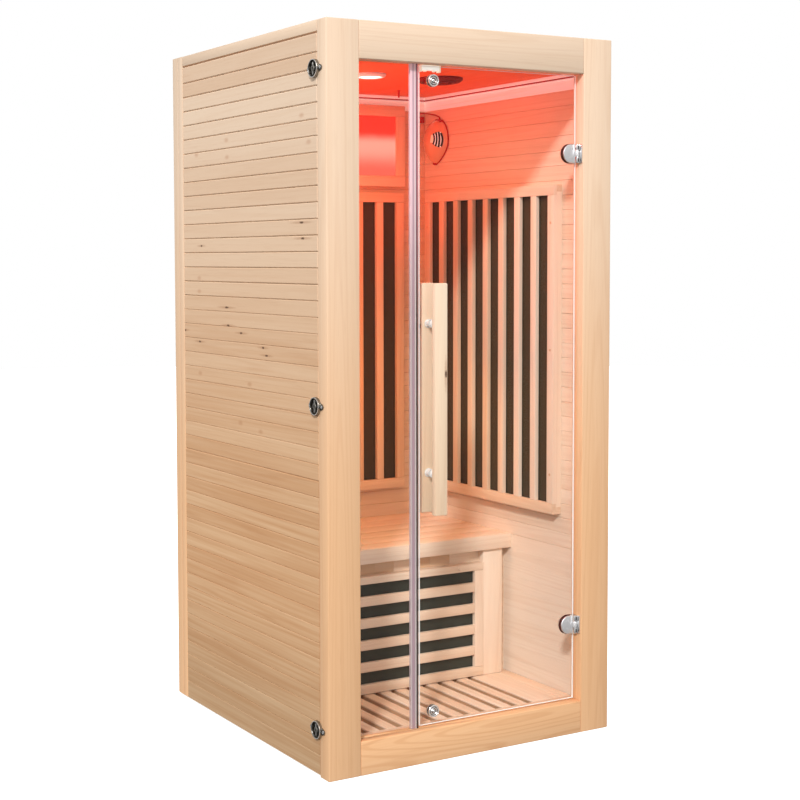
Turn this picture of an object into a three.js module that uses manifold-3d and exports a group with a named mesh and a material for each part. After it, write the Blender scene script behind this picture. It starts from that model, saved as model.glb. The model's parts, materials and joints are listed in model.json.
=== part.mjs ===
// One-person infrared sauna cabin, in millimetres, +Z up.
// Origin: middle of the base on the floor. +X is right seen from the front, the door faces -Y.
import * as THREE from 'three';
import { mergeVertices } from 'three/addons/utils/BufferGeometryUtils.js';
import Module from 'manifold-3d';

const wasm = await Module();
wasm.setup();

// Overall size and the gap left at every joint between two pieces
const cabinWidth = 900;
const cabinDepth = 900;
const cabinHeight = 1900;
const seam = 0.3;

// Front frame
const frameDepth = 45;
const stileWidth = 95;
const topRailHeight = 95;
const bottomRailHeight = 88;

// Walls of grooved boards
const panelThickness = 26;
const backPanelThickness = 36;
const liningThickness = 10;
const boardPitch = 41;
const topCourse = 6;
const liningPitch = 41.7;
const liningTopCourse = 44;
const grooveWidth = 4;
const grooveDepth = 2.5;
const rearStripWidth = 31;
const stripJointWidth = 2;
const stripJointDepth = 2.5;

// Base, duckboard, ceiling and roof
const baseFlange = 6;
const baseInset = 10;
const subfloorTop = 40;
const duckboardTop = 68;
const duckboardBoard = 20;
const duckboardLedge = 70;
const slatPitch = 54;
const slatGap = 20;
const slatGapCount = 11;
const battenWidth = 40;
const edgeGrooveOffset = 37;
const edgeGrooveWidth = 3;
const edgeGrooveDepth = 4;
const ceilingThickness = 10;
const trimHeight = 15;
const trimDepth = 12;
const roofThickness = 28;
const roofReveal = 4;
const roofRevealDepth = 8;

// Glass, its seal and the swinging door
const glassThickness = 6;
const glassSetback = 25;
const glassGrooveDepth = 10;
const glassBite = 8;
const fixedGlassVisible = 171;
const sealBite = 5;
const sealLip = 18;
const sealWall = 1.5;
const doorSideGap = 4.7;
const doorEndGap = 4;
const doorJambGap = 7;

// Door hinges, measured from the ends of the opening and from the front of the frame
const upperHingeDrop = 214;
const lowerHingeRise = 212;
const hingeLength = 50;
const pivotSetback = 16;
const knuckleRadius = 4.5;
const knuckleGap = 0.5;
const knuckleToPlate = 0.7;
const clampKnuckleLength = 17;
const pinRadius = 2.5;
const pinClearance = 0.4;
const jambPlateThickness = 3;
const jambPlateDepth = 34;
const clampPlateThickness = 5;
const clampReach = 38;
const clampFromPivot = 6;
const clampBossRadius = 5;
const clampBossFromPivot = 24;
const glassHoleClearance = 1;

// Door handle, strikes and catch
const handleWidth = 38;
const handleThickness = 18;
const handleLength = 600;
const handleBottom = 647;
const handleFromDoorEdge = 25;
const handleStandoff = 19;
const handleBoltSpacing = 390;
const handleBoltRadius = 4;
const handleBoltBite = 12;
const sleeveRadius = 9;
const topStrikeDrop = 40;
const bottomStrikeRise = 38;
const strikeRadius = 16;
const strikeThickness = 4;
const strikeStemRadius = 4;
const strikeFromDoorEdge = 43;
const catchWidth = 62;
const catchDepth = 14;
const catchHeight = 17;
const catchPlate = 5;
const catchPlateDrop = 3;

// Panel clasps at the seam between side wall and front frame
const upperClaspDrop = 119;
const middleClaspDrop = 957;
const lowerClaspRise = 121;
const claspFromFront = 54;
const claspRadius = 23;
const claspPlate = 2.5;
const claspRim = 3;
const claspDepth = 8;
const claspEarReach = 29;
const claspEarRadius = 7;
const turnHubRadius = 8;
const turnWingLength = 34;
const turnWingWidth = 8;
const turnWingHeight = 3;
const turnHubHeight = 5;

// Bench
const benchFront = 395;
const seatTop = 488;
const seatThickness = 42;
const benchPanelFront = 431;
const benchPanelThickness = 18;
const benchPostWidth = 69;
const benchPostDepth = 26;
const benchPostFromWall = 26;

// Heaters and their slatted guards
const heaterThickness = 14;
const heaterClearance = 0.5;
const heaterMargin = 20;
const heaterAirGap = 4;
const guardSlatDepth = 12;
const wallGuardAboveSeat = 92;
const wallGuardBelowLamp = 20;
const guardStile = 28;
const guardRail = 30;
const guardStrips = 8;
const guardSlatWidth = 25;
const backGuardFromWall = 100;
const sideGuardFront = 164;
const sideGuardFromBack = 41;
const legGuardFromPost = 1;
const legGuardAboveFloor = 2;
const legGuardBelowSeat = 39;
const legHeaterAirGap = 2;
const legGuardStile = 31;
const legGuardRail = 27;
const legGuardTopRail = 21;
const legGuardStrips = 5;
const legGuardSlat = 27;

// Colour light panel on the back wall
const lampPanelFromWall = 89;
const lampPanelBelowTrim = 17;
const lampPanelHeight = 254;
const lampPanelDepth = 20;
const lampPanelBorder = 34;
const diffuserRecess = 3;

// Ceiling lamp, vent, speaker, control panel and power unit
const discBevel = 8;
const lampRadius = 45;
const lampDrop = 12;
const lampPlace = [-85, -65];
const ventRadius = 65;
const ventDrop = 15;
const ventPlace = [150, -64];
const ventRings = 2;
const ventRingPitch = 24;
const ventRingWidth = 8;
const ventRingDepth = 3;
const speakerHalfWidth = 57;
const speakerHalfHeight = 69;
const speakerDepth = 42;
const speakerFoot = 4;
const speakerFromBack = 76;
const speakerDrop = 144;
const speakerTilt = 8 * Math.PI / 180;
const speakerTaper = 0.45;
const speakerTaperCurve = 1.6;
const speakerSlotHeights = [30, 40, 48, 52];
const speakerSlotStart = 31;
const speakerSlotPitch = 7.5;
const speakerSlotWidth = 4;
const speakerSlotDepth = 7;
const cableRadius = 2;
const cableClearance = 0.7;
const cableSides = 8;
const cableSteps = 24;
const controlWidth = 120;
const controlHeight = 80;
const controlDepth = 12;
const controlFromFront = 200;
const controlDrop = 222;
const buttonRadius = 9;
const buttonLength = 6;
const buttonPocket = 4.5;
const buttonTravel = 2.5;
const buttonFree = 0.5;
const buttonFromEdge = 24;
const buttonClearance = 0.6;
const powerUnitSize = [240, 200];
const powerUnitHeight = 33;
const powerUnitHeadroom = 3;
const powerUnitFromBack = 214;
const inletRadius = 12;
const inletFromBack = 40;
const inletBelowRoof = 1;

// Places worked out from the sizes above
const half = cabinWidth / 2;
const frontFace = -cabinDepth / 2;
const backFace = cabinDepth / 2;
const frameBack = frontFace + frameDepth;
const wallFace = half - panelThickness - liningThickness;
const backPanelInside = backFace - backPanelThickness;
const backWallFace = backPanelInside - liningThickness;
const jamb = half - stileWidth;
const openingTop = cabinHeight - topRailHeight;
const roofUnder = cabinHeight - roofThickness;
const panelTop = roofUnder - roofReveal;
const ceilingTop = panelTop - powerUnitHeadroom - powerUnitHeight;
const ceilingHeight = ceilingTop - ceilingThickness;
const backStripWidth = panelThickness + liningThickness;
const rearStripStart = backPanelInside - seam - rearStripWidth + stripJointWidth;
const backStripStart = half - backStripWidth + stripJointWidth;
const glassFront = frontFace + glassSetback;
const glassBack = glassFront + glassThickness;
const fixedGlassRight = -jamb + fixedGlassVisible;
const sealRight = fixedGlassRight + sealLip;
const doorLeft = sealRight + doorSideGap;
const doorRight = jamb - doorJambGap;
const pivotFromJamb = seam + jambPlateThickness + knuckleToPlate + knuckleRadius;
const pivotX = jamb - pivotFromJamb;
const pivotY = frontFace + pivotSetback;
const doorBottom = bottomRailHeight + doorEndGap;
const doorTop = openingTop - doorEndGap;
const hingeHeights = { upper: openingTop - upperHingeDrop, lower: bottomRailHeight + lowerHingeRise };
const strikeHeights = { top: openingTop - topStrikeDrop, bottom: bottomRailHeight + bottomStrikeRise };
const claspHeights = {
  upper: cabinHeight - upperClaspDrop,
  middle: cabinHeight - middleClaspDrop,
  lower: lowerClaspRise,
};
const handleCentre = doorLeft + handleFromDoorEdge + handleWidth / 2;
const strikeX = doorLeft + strikeFromDoorEdge;
const handleMiddle = handleBottom + handleLength / 2;
const handleBoltHeights = {
  upper: handleMiddle + handleBoltSpacing / 2,
  lower: handleMiddle - handleBoltSpacing / 2,
};
const powerUnitPlace = [0, backPanelInside - powerUnitFromBack];
const benchPanelFace = frontFace + benchPanelFront;
const benchPostOuter = wallFace - benchPostFromWall;
const benchPostInner = benchPostOuter - benchPostWidth;
const seatUnder = seatTop - seatThickness;
const lampPanelWidth = 2 * (wallFace - lampPanelFromWall);
const lampPanelBottom = ceilingHeight - trimHeight - lampPanelBelowTrim - lampPanelHeight;
const guardDepth = heaterThickness + heaterAirGap + guardSlatDepth;
const wallGuardBottom = seatTop + wallGuardAboveSeat;
const wallGuardHeight = lampPanelBottom - wallGuardBelowLamp - wallGuardBottom;
const backGuardWidth = 2 * (wallFace - backGuardFromWall);
const sideGuardStart = frontFace + sideGuardFront;
const sideGuardWidth = backWallFace - sideGuardFromBack - sideGuardStart;
const legGuardWidth = 2 * (benchPostInner - legGuardFromPost);
const legGuardBottom = duckboardTop + legGuardAboveFloor;
const legGuardHeight = seatUnder - legGuardBelowSeat - legGuardBottom;
const legGuardDepth = heaterThickness + legHeaterAirGap + guardSlatDepth;

// Finishes
const finish = (color, roughness, metalness = 0) => (
  new THREE.MeshStandardMaterial({ color, roughness, metalness })
);
const paleWood = finish(0xe3c39c, 0.6);
const frameWood = finish(0xe9c79f, 0.55);
const clearGlass = new THREE.MeshStandardMaterial({
  color: 0xdfe9e6, roughness: 0.05, transparent: true, opacity: 0.3,
});
const sealPlastic = finish(0xe6dfe2, 0.4);
const chrome = finish(0xc9ccd0, 0.15, 1);
const darkNickel = finish(0x4a443c, 0.35, 1);
const heaterCarbon = finish(0x2b2a25, 0.7);
const whitePlastic = finish(0xf2efe8, 0.4);
const lampDiffuser = finish(0xff7a66, 0.4);
const redBrownPlastic = finish(0x8a2a20, 0.5);
const darkPlastic = finish(0x26262a, 0.45);
const greySteel = finish(0x9a9da0, 0.5, 1);

// Closed mesh to solid, and back
const toSolid = (geometry) => {
  const bare = geometry.clone();
  bare.deleteAttribute('normal');
  bare.deleteAttribute('uv');
  const merged = mergeVertices(bare, 1e-4);
  return new wasm.Manifold(new wasm.Mesh({
    numProp: 3,
    vertProperties: Float32Array.from(merged.attributes.position.array),
    triVerts: Uint32Array.from(merged.index.array),
  }));
};
const toGeometry = (solid) => {
  const mesh = solid.getMesh();
  const geometry = new THREE.BufferGeometry();
  geometry.setAttribute('position', new THREE.BufferAttribute(Float32Array.from(mesh.vertProperties), 3));
  geometry.setIndex(new THREE.BufferAttribute(Uint32Array.from(mesh.triVerts), 1));
  const flat = geometry.toNonIndexed();
  flat.computeVertexNormals();
  return flat;
};
const join = (...shapes) => toGeometry(shapes.map(toSolid).reduce((whole, next) => whole.add(next)));
const cut = (shape, ...tools) => toGeometry(
  tools.map(toSolid).reduce((whole, tool) => whole.subtract(tool), toSolid(shape)),
);

// Basic shapes: a box between limits, a round bar along one axis, a turned profile standing on z = 0
const box = ([x0, x1], [y0, y1], [z0, z1]) => new THREE.BoxGeometry(x1 - x0, y1 - y0, z1 - z0)
  .translate((x0 + x1) / 2, (y0 + y1) / 2, (z0 + z1) / 2);
const roundBar = (axis, radius, from, to, [a, b] = [0, 0], sides = 16) => {
  const bar = new THREE.CylinderGeometry(radius, radius, to - from, sides);
  if (axis === 'x') return bar.rotateZ(-Math.PI / 2).translate((from + to) / 2, a, b);
  if (axis === 'y') return bar.translate(a, (from + to) / 2, b);
  return bar.rotateX(Math.PI / 2).translate(a, b, (from + to) / 2);
};
const turned = (outline, sides = 20) => new THREE.LatheGeometry(
  outline.map(([radius, height]) => new THREE.Vector2(radius, height)), sides,
).rotateX(Math.PI / 2);

// Scene helpers
const cabin = new THREE.Group();
const addPiece = (name, geometry, material, parent = cabin) => {
  const mesh = new THREE.Mesh(geometry, material);
  mesh.name = name;
  parent.add(mesh);
  return mesh;
};
// Turns a mesh so that its own +Z follows a horizontal normal and its own +Y points up.
const standOn = (mesh, normal, place) => {
  const up = new THREE.Vector3(0, 0, 1);
  const out = new THREE.Vector3(...normal);
  const across = new THREE.Vector3().crossVectors(up, out);
  mesh.quaternion.setFromRotationMatrix(new THREE.Matrix4().makeBasis(across, up, out));
  mesh.position.set(...place);
};
const facing = { front: [0, -1, 0], back: [0, 1, 0], left: [-1, 0, 0], right: [1, 0, 0] };

// A panel of horizontal boards in its own frame: x along the boards, y up, grooved face at z = thickness.
// The courses are laid from the top, and the lowest one is cut to fit.
function groovedBoards(length, height, thickness, pitch, topBoard) {
  const outline = new THREE.Shape();
  outline.moveTo(0, height);
  outline.lineTo(thickness, height);
  for (let groove = height - topBoard; groove > grooveWidth; groove -= pitch) {
    outline.lineTo(thickness, groove + grooveWidth / 2);
    outline.lineTo(thickness - grooveDepth, groove);
    outline.lineTo(thickness, groove - grooveWidth / 2);
  }
  outline.lineTo(thickness, 0);
  outline.lineTo(0, 0);
  const boardsToWall = new THREE.Matrix4().makeBasis(
    new THREE.Vector3(0, 0, 1), new THREE.Vector3(0, 1, 0), new THREE.Vector3(-1, 0, 0),
  );
  return new THREE.ExtrudeGeometry(outline, { depth: length, bevelEnabled: false })
    .applyMatrix4(boardsToWall).translate(length, 0, 0);
}

// Boards with plain upright strips at their ends, each set off by a fine joint and as high as the cabin.
function boardsWithStrips({ length, height, stripHeight, thickness, startStrip, endStrip }) {
  const boards = groovedBoards(length - startStrip - endStrip, height, thickness, boardPitch, topCourse);
  const shapes = [boards.translate(startStrip, 0, 0)];
  const addStrip = (outer, inner) => {
    const joint = inner + Math.sign(outer - inner) * stripJointWidth;
    const limits = [Math.min(outer, joint), Math.max(outer, joint)];
    const jointLimits = [Math.min(inner, outer), Math.max(inner, outer)];
    shapes.push(box(limits, [0, stripHeight], [0, thickness]));
    shapes.push(box(jointLimits, [0, height], [0, thickness - stripJointDepth]));
  };
  if (startStrip > 0) addStrip(0, startStrip);
  if (endStrip > 0) addStrip(length, length - endStrip);
  return join(...shapes);
}

function buildWalls() {
  const panelBottom = baseFlange + seam;
  const panelHeight = panelTop - panelBottom;
  const liningHeight = ceilingHeight - seam - panelBottom;
  const sideLength = backPanelInside - frameBack - 2 * seam;
  const sideStart = frameBack + seam;

  const panel = { height: panelHeight, stripHeight: cabinHeight - panelBottom };
  const side = { ...panel, length: sideLength, thickness: panelThickness };

  const left = boardsWithStrips({ ...side, startStrip: rearStripWidth, endStrip: 0 });
  standOn(addPiece('left_wall_panel', left, paleWood), facing.left,
    [-half + panelThickness, sideStart + sideLength, panelBottom]);
  const right = boardsWithStrips({ ...side, startStrip: 0, endStrip: rearStripWidth });
  standOn(addPiece('right_wall_panel', right, paleWood), facing.right,
    [half - panelThickness, sideStart, panelBottom]);
  const back = boardsWithStrips({
    ...panel, length: cabinWidth, thickness: backPanelThickness,
    startStrip: backStripWidth, endStrip: backStripWidth,
  });
  standOn(addPiece('back_wall_panel', back, paleWood), facing.back, [half, backPanelInside, panelBottom]);

  const lining = (length) => groovedBoards(
    length, liningHeight, liningThickness - seam, liningPitch, liningTopCourse,
  );
  const sideLining = lining(sideLength);
  standOn(addPiece('left_wall_lining', sideLining, paleWood), facing.right,
    [-wallFace - liningThickness + seam, sideStart, panelBottom]);
  standOn(addPiece('right_wall_lining', sideLining.clone(), paleWood), facing.left,
    [wallFace + liningThickness - seam, sideStart + sideLength, panelBottom]);
  standOn(addPiece('back_wall_lining', lining(2 * (wallFace - seam)), paleWood), facing.front,
    [-wallFace + seam, backPanelInside - seam, panelBottom]);
}

function buildFloorAndRoof() {
  const flange = box([baseInset - half, half - baseInset],
    [frameBack + seam, backFace - baseInset], [0, baseFlange]);
  const slabX = wallFace - seam;
  const subfloor = box([-slabX, slabX], [frameBack + seam, backWallFace - seam], [0, subfloorTop]);
  addPiece('base_floor', join(flange, subfloor), paleWood);

  const rear = benchPanelFace - seam;
  const boardBottom = duckboardTop - duckboardBoard;
  const top = box([-slabX, slabX], [frameBack + seam, rear], [boardBottom, duckboardTop]);
  const slots = [];
  const slatStart = frameBack + duckboardLedge;
  for (let gap = 0; gap < slatGapCount; gap += 1) {
    const centre = (gap - (slatGapCount - 1) / 2) * slatPitch;
    slots.push(box([centre - slatGap / 2, centre + slatGap / 2],
      [slatStart, rear + 1], [boardBottom - 1, duckboardTop + 1]));
  }
  for (const side of [-1, 1]) {
    const centre = side * (wallFace - edgeGrooveOffset);
    slots.push(box([centre - edgeGrooveWidth / 2, centre + edgeGrooveWidth / 2],
      [slatStart, rear + 1], [duckboardTop - edgeGrooveDepth, duckboardTop + 1]));
  }
  const battens = [];
  const battenRun = rear - battenWidth - frameBack - seam;
  for (const share of [0, 0.5, 1]) {
    const start = frameBack + seam + share * battenRun;
    battens.push(box([-slabX, slabX], [start, start + battenWidth], [subfloorTop + seam, boardBottom]));
  }
  addPiece('floor_duckboard', join(cut(top, ...slots), ...battens), paleWood);

  const ceilingX = wallFace + liningThickness - seam;
  addPiece('ceiling_panel', box([-ceilingX, ceilingX], [frameBack + seam, backPanelInside - seam],
    [ceilingHeight, ceilingTop]), paleWood);
  const trimTop = ceilingHeight - seam;
  const trimOuter = box([-slabX, slabX],
    [frameBack + seam, backWallFace - seam], [trimTop - trimHeight, trimTop]);
  const trimInner = box([trimDepth - slabX, slabX - trimDepth],
    [frameBack + seam + trimDepth, backWallFace - seam - trimDepth], [trimTop - trimHeight - 1, trimTop + 1]);
  addPiece('ceiling_trim', cut(trimOuter, trimInner), frameWood);

  // The roof stays between the upright strips at the rear corners.
  const roofLayer = (inset, heights) => {
    const start = frameBack + seam;
    const between = half - panelThickness - seam;
    const behind = backStripStart - seam;
    return [
      box([inset - half, half - inset], [start, rearStripStart - seam], heights),
      box([-between, between], [start, backPanelInside - seam], heights),
      box([-behind, behind], [start, backFace - inset], heights),
    ];
  };
  const slab = roofLayer(0, [roofUnder, cabinHeight]);
  const step = roofLayer(roofRevealDepth, [panelTop + seam, roofUnder]);
  const inletY = powerUnitPlace[1] + powerUnitSize[1] / 2 - inletFromBack;
  const inletHole = roundBar('z', inletRadius + seam, panelTop, cabinHeight + 1, [powerUnitPlace[0], inletY]);
  addPiece('roof_panel', cut(join(...slab, ...step), inletHole), paleWood);

  const unitBottom = ceilingTop + seam;
  const [unitX, unitY] = powerUnitPlace;
  const housing = box([unitX - powerUnitSize[0] / 2, unitX + powerUnitSize[0] / 2],
    [unitY - powerUnitSize[1] / 2, unitY + powerUnitSize[1] / 2],
    [unitBottom, unitBottom + powerUnitHeight]);
  const inlet = roundBar('z', inletRadius, unitBottom, cabinHeight - inletBelowRoof, [unitX, inletY]);
  addPiece('power_unit', join(housing, inlet), greySteel);
}

function buildFrontFrame() {
  const grooveY = [glassFront - seam, glassBack + seam];
  const grooveZ = [bottomRailHeight - glassGrooveDepth, openingTop + glassGrooveDepth];
  const glassPocket = box([-jamb - glassGrooveDepth, fixedGlassRight + seam], grooveY, grooveZ);
  const depth = [frontFace, frameBack];
  addPiece('front_left_stile', cut(box([-half, -jamb], depth, [0, cabinHeight]), glassPocket), frameWood);
  addPiece('front_right_stile', box([jamb, half], depth, [0, cabinHeight]), frameWood);
  const railX = [-jamb + seam, jamb - seam];
  addPiece('front_top_rail', cut(box(railX, depth, [openingTop, cabinHeight]), glassPocket), frameWood);
  addPiece('front_bottom_rail', cut(box(railX, depth, [0, bottomRailHeight]), glassPocket), frameWood);

  addPiece('fixed_glass', box([-jamb - glassBite, fixedGlassRight], [glassFront, glassBack],
    [bottomRailHeight - glassBite, openingTop + glassBite]), clearGlass);
  const sealZ = [bottomRailHeight + seam, openingTop - seam];
  const sealBody = box([fixedGlassRight - sealBite, sealRight],
    [glassFront - sealWall, glassBack + sealWall], sealZ);
  const sealSlot = box([fixedGlassRight - sealBite - 1, fixedGlassRight + seam], grooveY, [0, cabinHeight]);
  addPiece('fixed_glass_seal', cut(sealBody, sealSlot), sealPlastic);

  const catchTop = openingTop - seam;
  const catchFront = glassBack + strikeThickness + seam;
  const catchY = [catchFront, catchFront + catchDepth];
  const catchSides = [strikeX - catchWidth / 2, strikeX + catchWidth / 2];
  const catchParts = [box(catchSides, catchY, [catchTop - catchHeight + catchPlateDrop, catchTop])];
  for (const plateX of [catchSides[0], catchSides[1] - catchPlate]) {
    catchParts.push(box([plateX, plateX + catchPlate], catchY, [catchTop - catchHeight, catchTop]));
  }
  addPiece('door_catch', join(...catchParts), whitePlastic);
}

// The door hangs in a group whose own Z axis is the hinge axis.
function buildDoor() {
  const door = new THREE.Group();
  door.position.set(pivotX, pivotY, 0);
  cabin.add(door);
  const fromPivotX = (x) => x - pivotX;
  const glassY = [glassFront - pivotY, glassBack - pivotY];
  const handleX = fromPivotX(handleCentre);

  const holes = [];
  for (const height of Object.values(handleBoltHeights)) {
    holes.push(roundBar('y', handleBoltRadius + glassHoleClearance,
      glassY[0] - 1, glassY[1] + 1, [handleX, height]));
  }
  for (const height of Object.values(strikeHeights)) {
    holes.push(roundBar('y', strikeStemRadius + glassHoleClearance,
      glassY[0] - 1, glassY[1] + 1, [fromPivotX(strikeX), height]));
  }
  for (const height of Object.values(hingeHeights)) {
    holes.push(roundBar('y', clampBossRadius + glassHoleClearance,
      glassY[0] - 1, glassY[1] + 1, [-clampBossFromPivot, height]));
  }
  const sheet = box([fromPivotX(doorLeft), fromPivotX(doorRight)], glassY, [doorBottom, doorTop]);
  addPiece('door_glass', cut(sheet, ...holes), clearGlass, door);

  const barX = [handleX - handleWidth / 2, handleX + handleWidth / 2];
  const barZ = [handleBottom, handleBottom + handleLength];
  const outerY = glassY[0] - handleStandoff;
  const innerY = glassY[1] + handleStandoff;
  const bolt = (height, radius, spread) => roundBar('y', radius,
    outerY - handleBoltBite - spread, innerY + handleBoltBite + spread, [handleX, height]);
  const boltHole = (height) => bolt(height, handleBoltRadius + seam, seam);
  const boltHoles = Object.values(handleBoltHeights).map(boltHole);
  const outerBar = box(barX, [outerY - handleThickness, outerY], barZ);
  const innerBar = box(barX, [innerY, innerY + handleThickness], barZ);
  addPiece('door_handle_outer', cut(outerBar, ...boltHoles), frameWood, door);
  addPiece('door_handle_inner', cut(innerBar, ...boltHoles), frameWood, door);
  for (const [level, height] of Object.entries(handleBoltHeights)) {
    const front = roundBar('y', sleeveRadius, outerY + seam, glassY[0] - seam, [handleX, height]);
    const rear = roundBar('y', sleeveRadius, glassY[1] + seam, innerY - seam, [handleX, height]);
    addPiece(`handle_bolt_${level}`, join(bolt(height, handleBoltRadius, 0), front, rear), chrome, door);
  }

  for (const [end, height] of Object.entries(strikeHeights)) {
    const place = [fromPivotX(strikeX), height];
    const front = roundBar('y', strikeRadius, glassY[0] - seam - strikeThickness, glassY[0] - seam, place);
    const rear = roundBar('y', strikeRadius, glassY[1] + seam, glassY[1] + strikeThickness, place);
    const stem = roundBar('y', strikeStemRadius, glassY[0] - seam - 1, glassY[1] + seam + 1, place);
    addPiece(`door_strike_${end}`, join(front, rear, stem), chrome, door);
  }

  for (const [level, height] of Object.entries(hingeHeights)) {
    addPiece(`${level}_hinge_clamp`, hingeClamp(glassY).translate(0, 0, height), chrome, door);
    const bracket = addPiece(`${level}_hinge_bracket`, hingeBracket(), chrome);
    bracket.position.set(pivotX, pivotY, height);
  }
}

// Half-round clamp plates on both faces of the glass, bolted through it, with the middle knuckle.
function hingeClamp(glassY) {
  const radius = hingeLength / 2;
  const outline = new THREE.Shape();
  outline.moveTo(-clampFromPivot, -radius);
  outline.lineTo(-clampFromPivot, radius);
  outline.lineTo(-clampFromPivot - clampReach + radius, radius);
  outline.absarc(-clampFromPivot - clampReach + radius, 0, radius, Math.PI / 2, 1.5 * Math.PI, false);
  const plate = (y) => new THREE.ExtrudeGeometry(outline, {
    depth: clampPlateThickness, bevelEnabled: false, curveSegments: 10,
  }).rotateX(Math.PI / 2).translate(0, y + clampPlateThickness, 0);
  const frontPlate = glassY[0] - seam - clampPlateThickness;
  const rearPlate = glassY[1] + seam;
  const boss = roundBar('y', clampBossRadius, frontPlate + 1, rearPlate + 1, [-clampBossFromPivot, 0]);
  const knuckleZ = [-clampKnuckleLength / 2, clampKnuckleLength / 2];
  const knuckle = roundBar('z', knuckleRadius, ...knuckleZ);
  const arm = box([-clampFromPivot - clampPlateThickness, 0],
    [0, frontPlate + clampPlateThickness], knuckleZ);
  const pinHole = roundBar('z', pinRadius + pinClearance, knuckleZ[0] - 1, knuckleZ[1] + 1);
  return cut(join(plate(frontPlate), plate(rearPlate), boss, knuckle, arm), pinHole);
}

// Plate on the jamb with the two outer knuckles and the hinge pin, around the hinge axis.
function hingeBracket() {
  const plateX = [pivotFromJamb - seam - jambPlateThickness, pivotFromJamb - seam];
  const plateY = [-jambPlateDepth / 3, jambPlateDepth * 2 / 3];
  const parts = [box(plateX, plateY, [-hingeLength / 2, hingeLength / 2])];
  const inner = clampKnuckleLength / 2 + knuckleGap;
  for (const [from, to] of [[-hingeLength / 2, -inner], [inner, hingeLength / 2]]) {
    parts.push(roundBar('z', knuckleRadius, from, to));
    parts.push(box([0, plateX[0] + 1], [-knuckleRadius, knuckleRadius], [from, to]));
  }
  parts.push(roundBar('z', pinRadius, -hingeLength / 2, hingeLength / 2));
  return join(...parts);
}

// Round cup with two riveted ears; a winged thumb-turn sits in the cup.
function buildClasps() {
  const cup = turned([
    [0, 0], [claspRadius, 0], [claspRadius, claspDepth], [claspRadius - claspRim, claspDepth],
    [claspRadius - claspRim, claspPlate], [0, claspPlate],
  ]);
  const ears = [];
  for (const side of [-1, 1]) {
    ears.push(roundBar('z', claspEarRadius, 0, claspPlate, [side * claspEarReach, 0], 16));
    const reach = [Math.min(0, side * claspEarReach), Math.max(0, side * claspEarReach)];
    ears.push(box(reach, [-claspEarRadius, claspEarRadius], [0, claspPlate]));
  }
  const body = join(cup, ...ears);
  const hub = roundBar('z', turnHubRadius, 0, turnHubHeight);
  const wing = box([-turnWingWidth / 2, turnWingWidth / 2],
    [-turnWingLength / 2, turnWingLength / 2], [0, turnWingHeight]);
  const turn = join(hub, wing);
  const y = frontFace + claspFromFront;
  for (const [side, sign] of [['left', -1], ['right', 1]]) {
    for (const [level, z] of Object.entries(claspHeights)) {
      const bodyMesh = addPiece(`${side}_clasp_${level}`, body.clone(), darkNickel);
      standOn(bodyMesh, facing[side], [sign * (half + seam), y, z]);
      const turnMesh = addPiece(`${side}_clasp_turn_${level}`, turn.clone(), darkNickel);
      standOn(turnMesh, facing[side], [sign * (half + 2 * seam + claspPlate), y, z]);
    }
  }
}

function buildBench() {
  const innerX = wallFace - seam;
  const seatFront = frontFace + benchFront;
  const seat = box([-innerX, innerX], [seatFront, backWallFace - seam], [seatUnder, seatTop]);
  addPiece('bench_seat', seat, paleWood);
  const panelTopEdge = seatUnder - seam;
  const parts = [box([-innerX, innerX], [benchPanelFace, benchPanelFace + benchPanelThickness],
    [subfloorTop + seam, panelTopEdge])];
  for (const side of [-1, 1]) {
    const edges = [side * benchPostInner, side * benchPostOuter];
    parts.push(box([Math.min(...edges), Math.max(...edges)],
      [benchPanelFace - benchPostDepth, benchPanelFace + 1], [duckboardTop + seam, panelTopEdge]));
  }
  addPiece('bench_front_panel', join(...parts), paleWood);
}

// Slatted guard lying in its own frame: x along the wall, y up, back at z = 0.
// Strips are the gaps between its slats, upright or lying.
function slattedGuard({ width, height, depth, stile, rail, topRail, strips, slat, upright }) {
  const pocketDepth = depth - guardSlatDepth;
  const outer = box([0, width], [0, height], [0, depth]);
  const pocket = box([heaterMargin, width - heaterMargin],
    [heaterMargin, height - heaterMargin], [-1, pocketDepth]);
  const run = upright ? width - 2 * stile : height - rail - topRail;
  const gap = (run - (strips - 1) * slat) / strips;
  const gaps = [];
  for (let strip = 0; strip < strips; strip += 1) {
    const start = (upright ? stile : rail) + strip * (gap + slat);
    const along = [start, start + gap];
    const across = upright ? [rail, height - topRail] : [stile, width - stile];
    gaps.push(upright ? box(along, across, [-1, depth + 1]) : box(across, along, [-1, depth + 1]));
  }
  return cut(outer, pocket, ...gaps);
}

// Flat heater that lies in the pocket behind the slats.
function heaterPanel({ width, height }) {
  const margin = heaterMargin + heaterClearance;
  return box([margin, width - margin], [margin, height - margin], [0, heaterThickness]);
}

function buildHeaters() {
  const upright = {
    height: wallGuardHeight, depth: guardDepth - seam, stile: guardStile, rail: guardRail,
    topRail: guardRail, strips: guardStrips, slat: guardSlatWidth, upright: true,
  };
  const back = { ...upright, width: backGuardWidth };
  const side = { ...upright, width: sideGuardWidth };
  const leg = {
    width: legGuardWidth, height: legGuardHeight, depth: legGuardDepth, stile: legGuardStile,
    rail: legGuardRail, topRail: legGuardTopRail, strips: legGuardStrips, slat: legGuardSlat,
    upright: false,
  };
  const places = [
    ['back', back, facing.front, [-backGuardWidth / 2, backWallFace - seam, wallGuardBottom]],
    ['right', side, facing.left, [wallFace - seam, sideGuardStart + sideGuardWidth, wallGuardBottom]],
    ['left', side, facing.right, [seam - wallFace, sideGuardStart, wallGuardBottom]],
    ['leg', leg, facing.front, [-legGuardWidth / 2, benchPanelFace - seam, legGuardBottom]],
  ];
  for (const [name, sizes, normal, place] of places) {
    standOn(addPiece(`${name}_heater`, heaterPanel(sizes), heaterCarbon), normal, place);
    standOn(addPiece(`${name}_heater_guard`, slattedGuard(sizes), paleWood), normal, place);
  }
}

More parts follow.
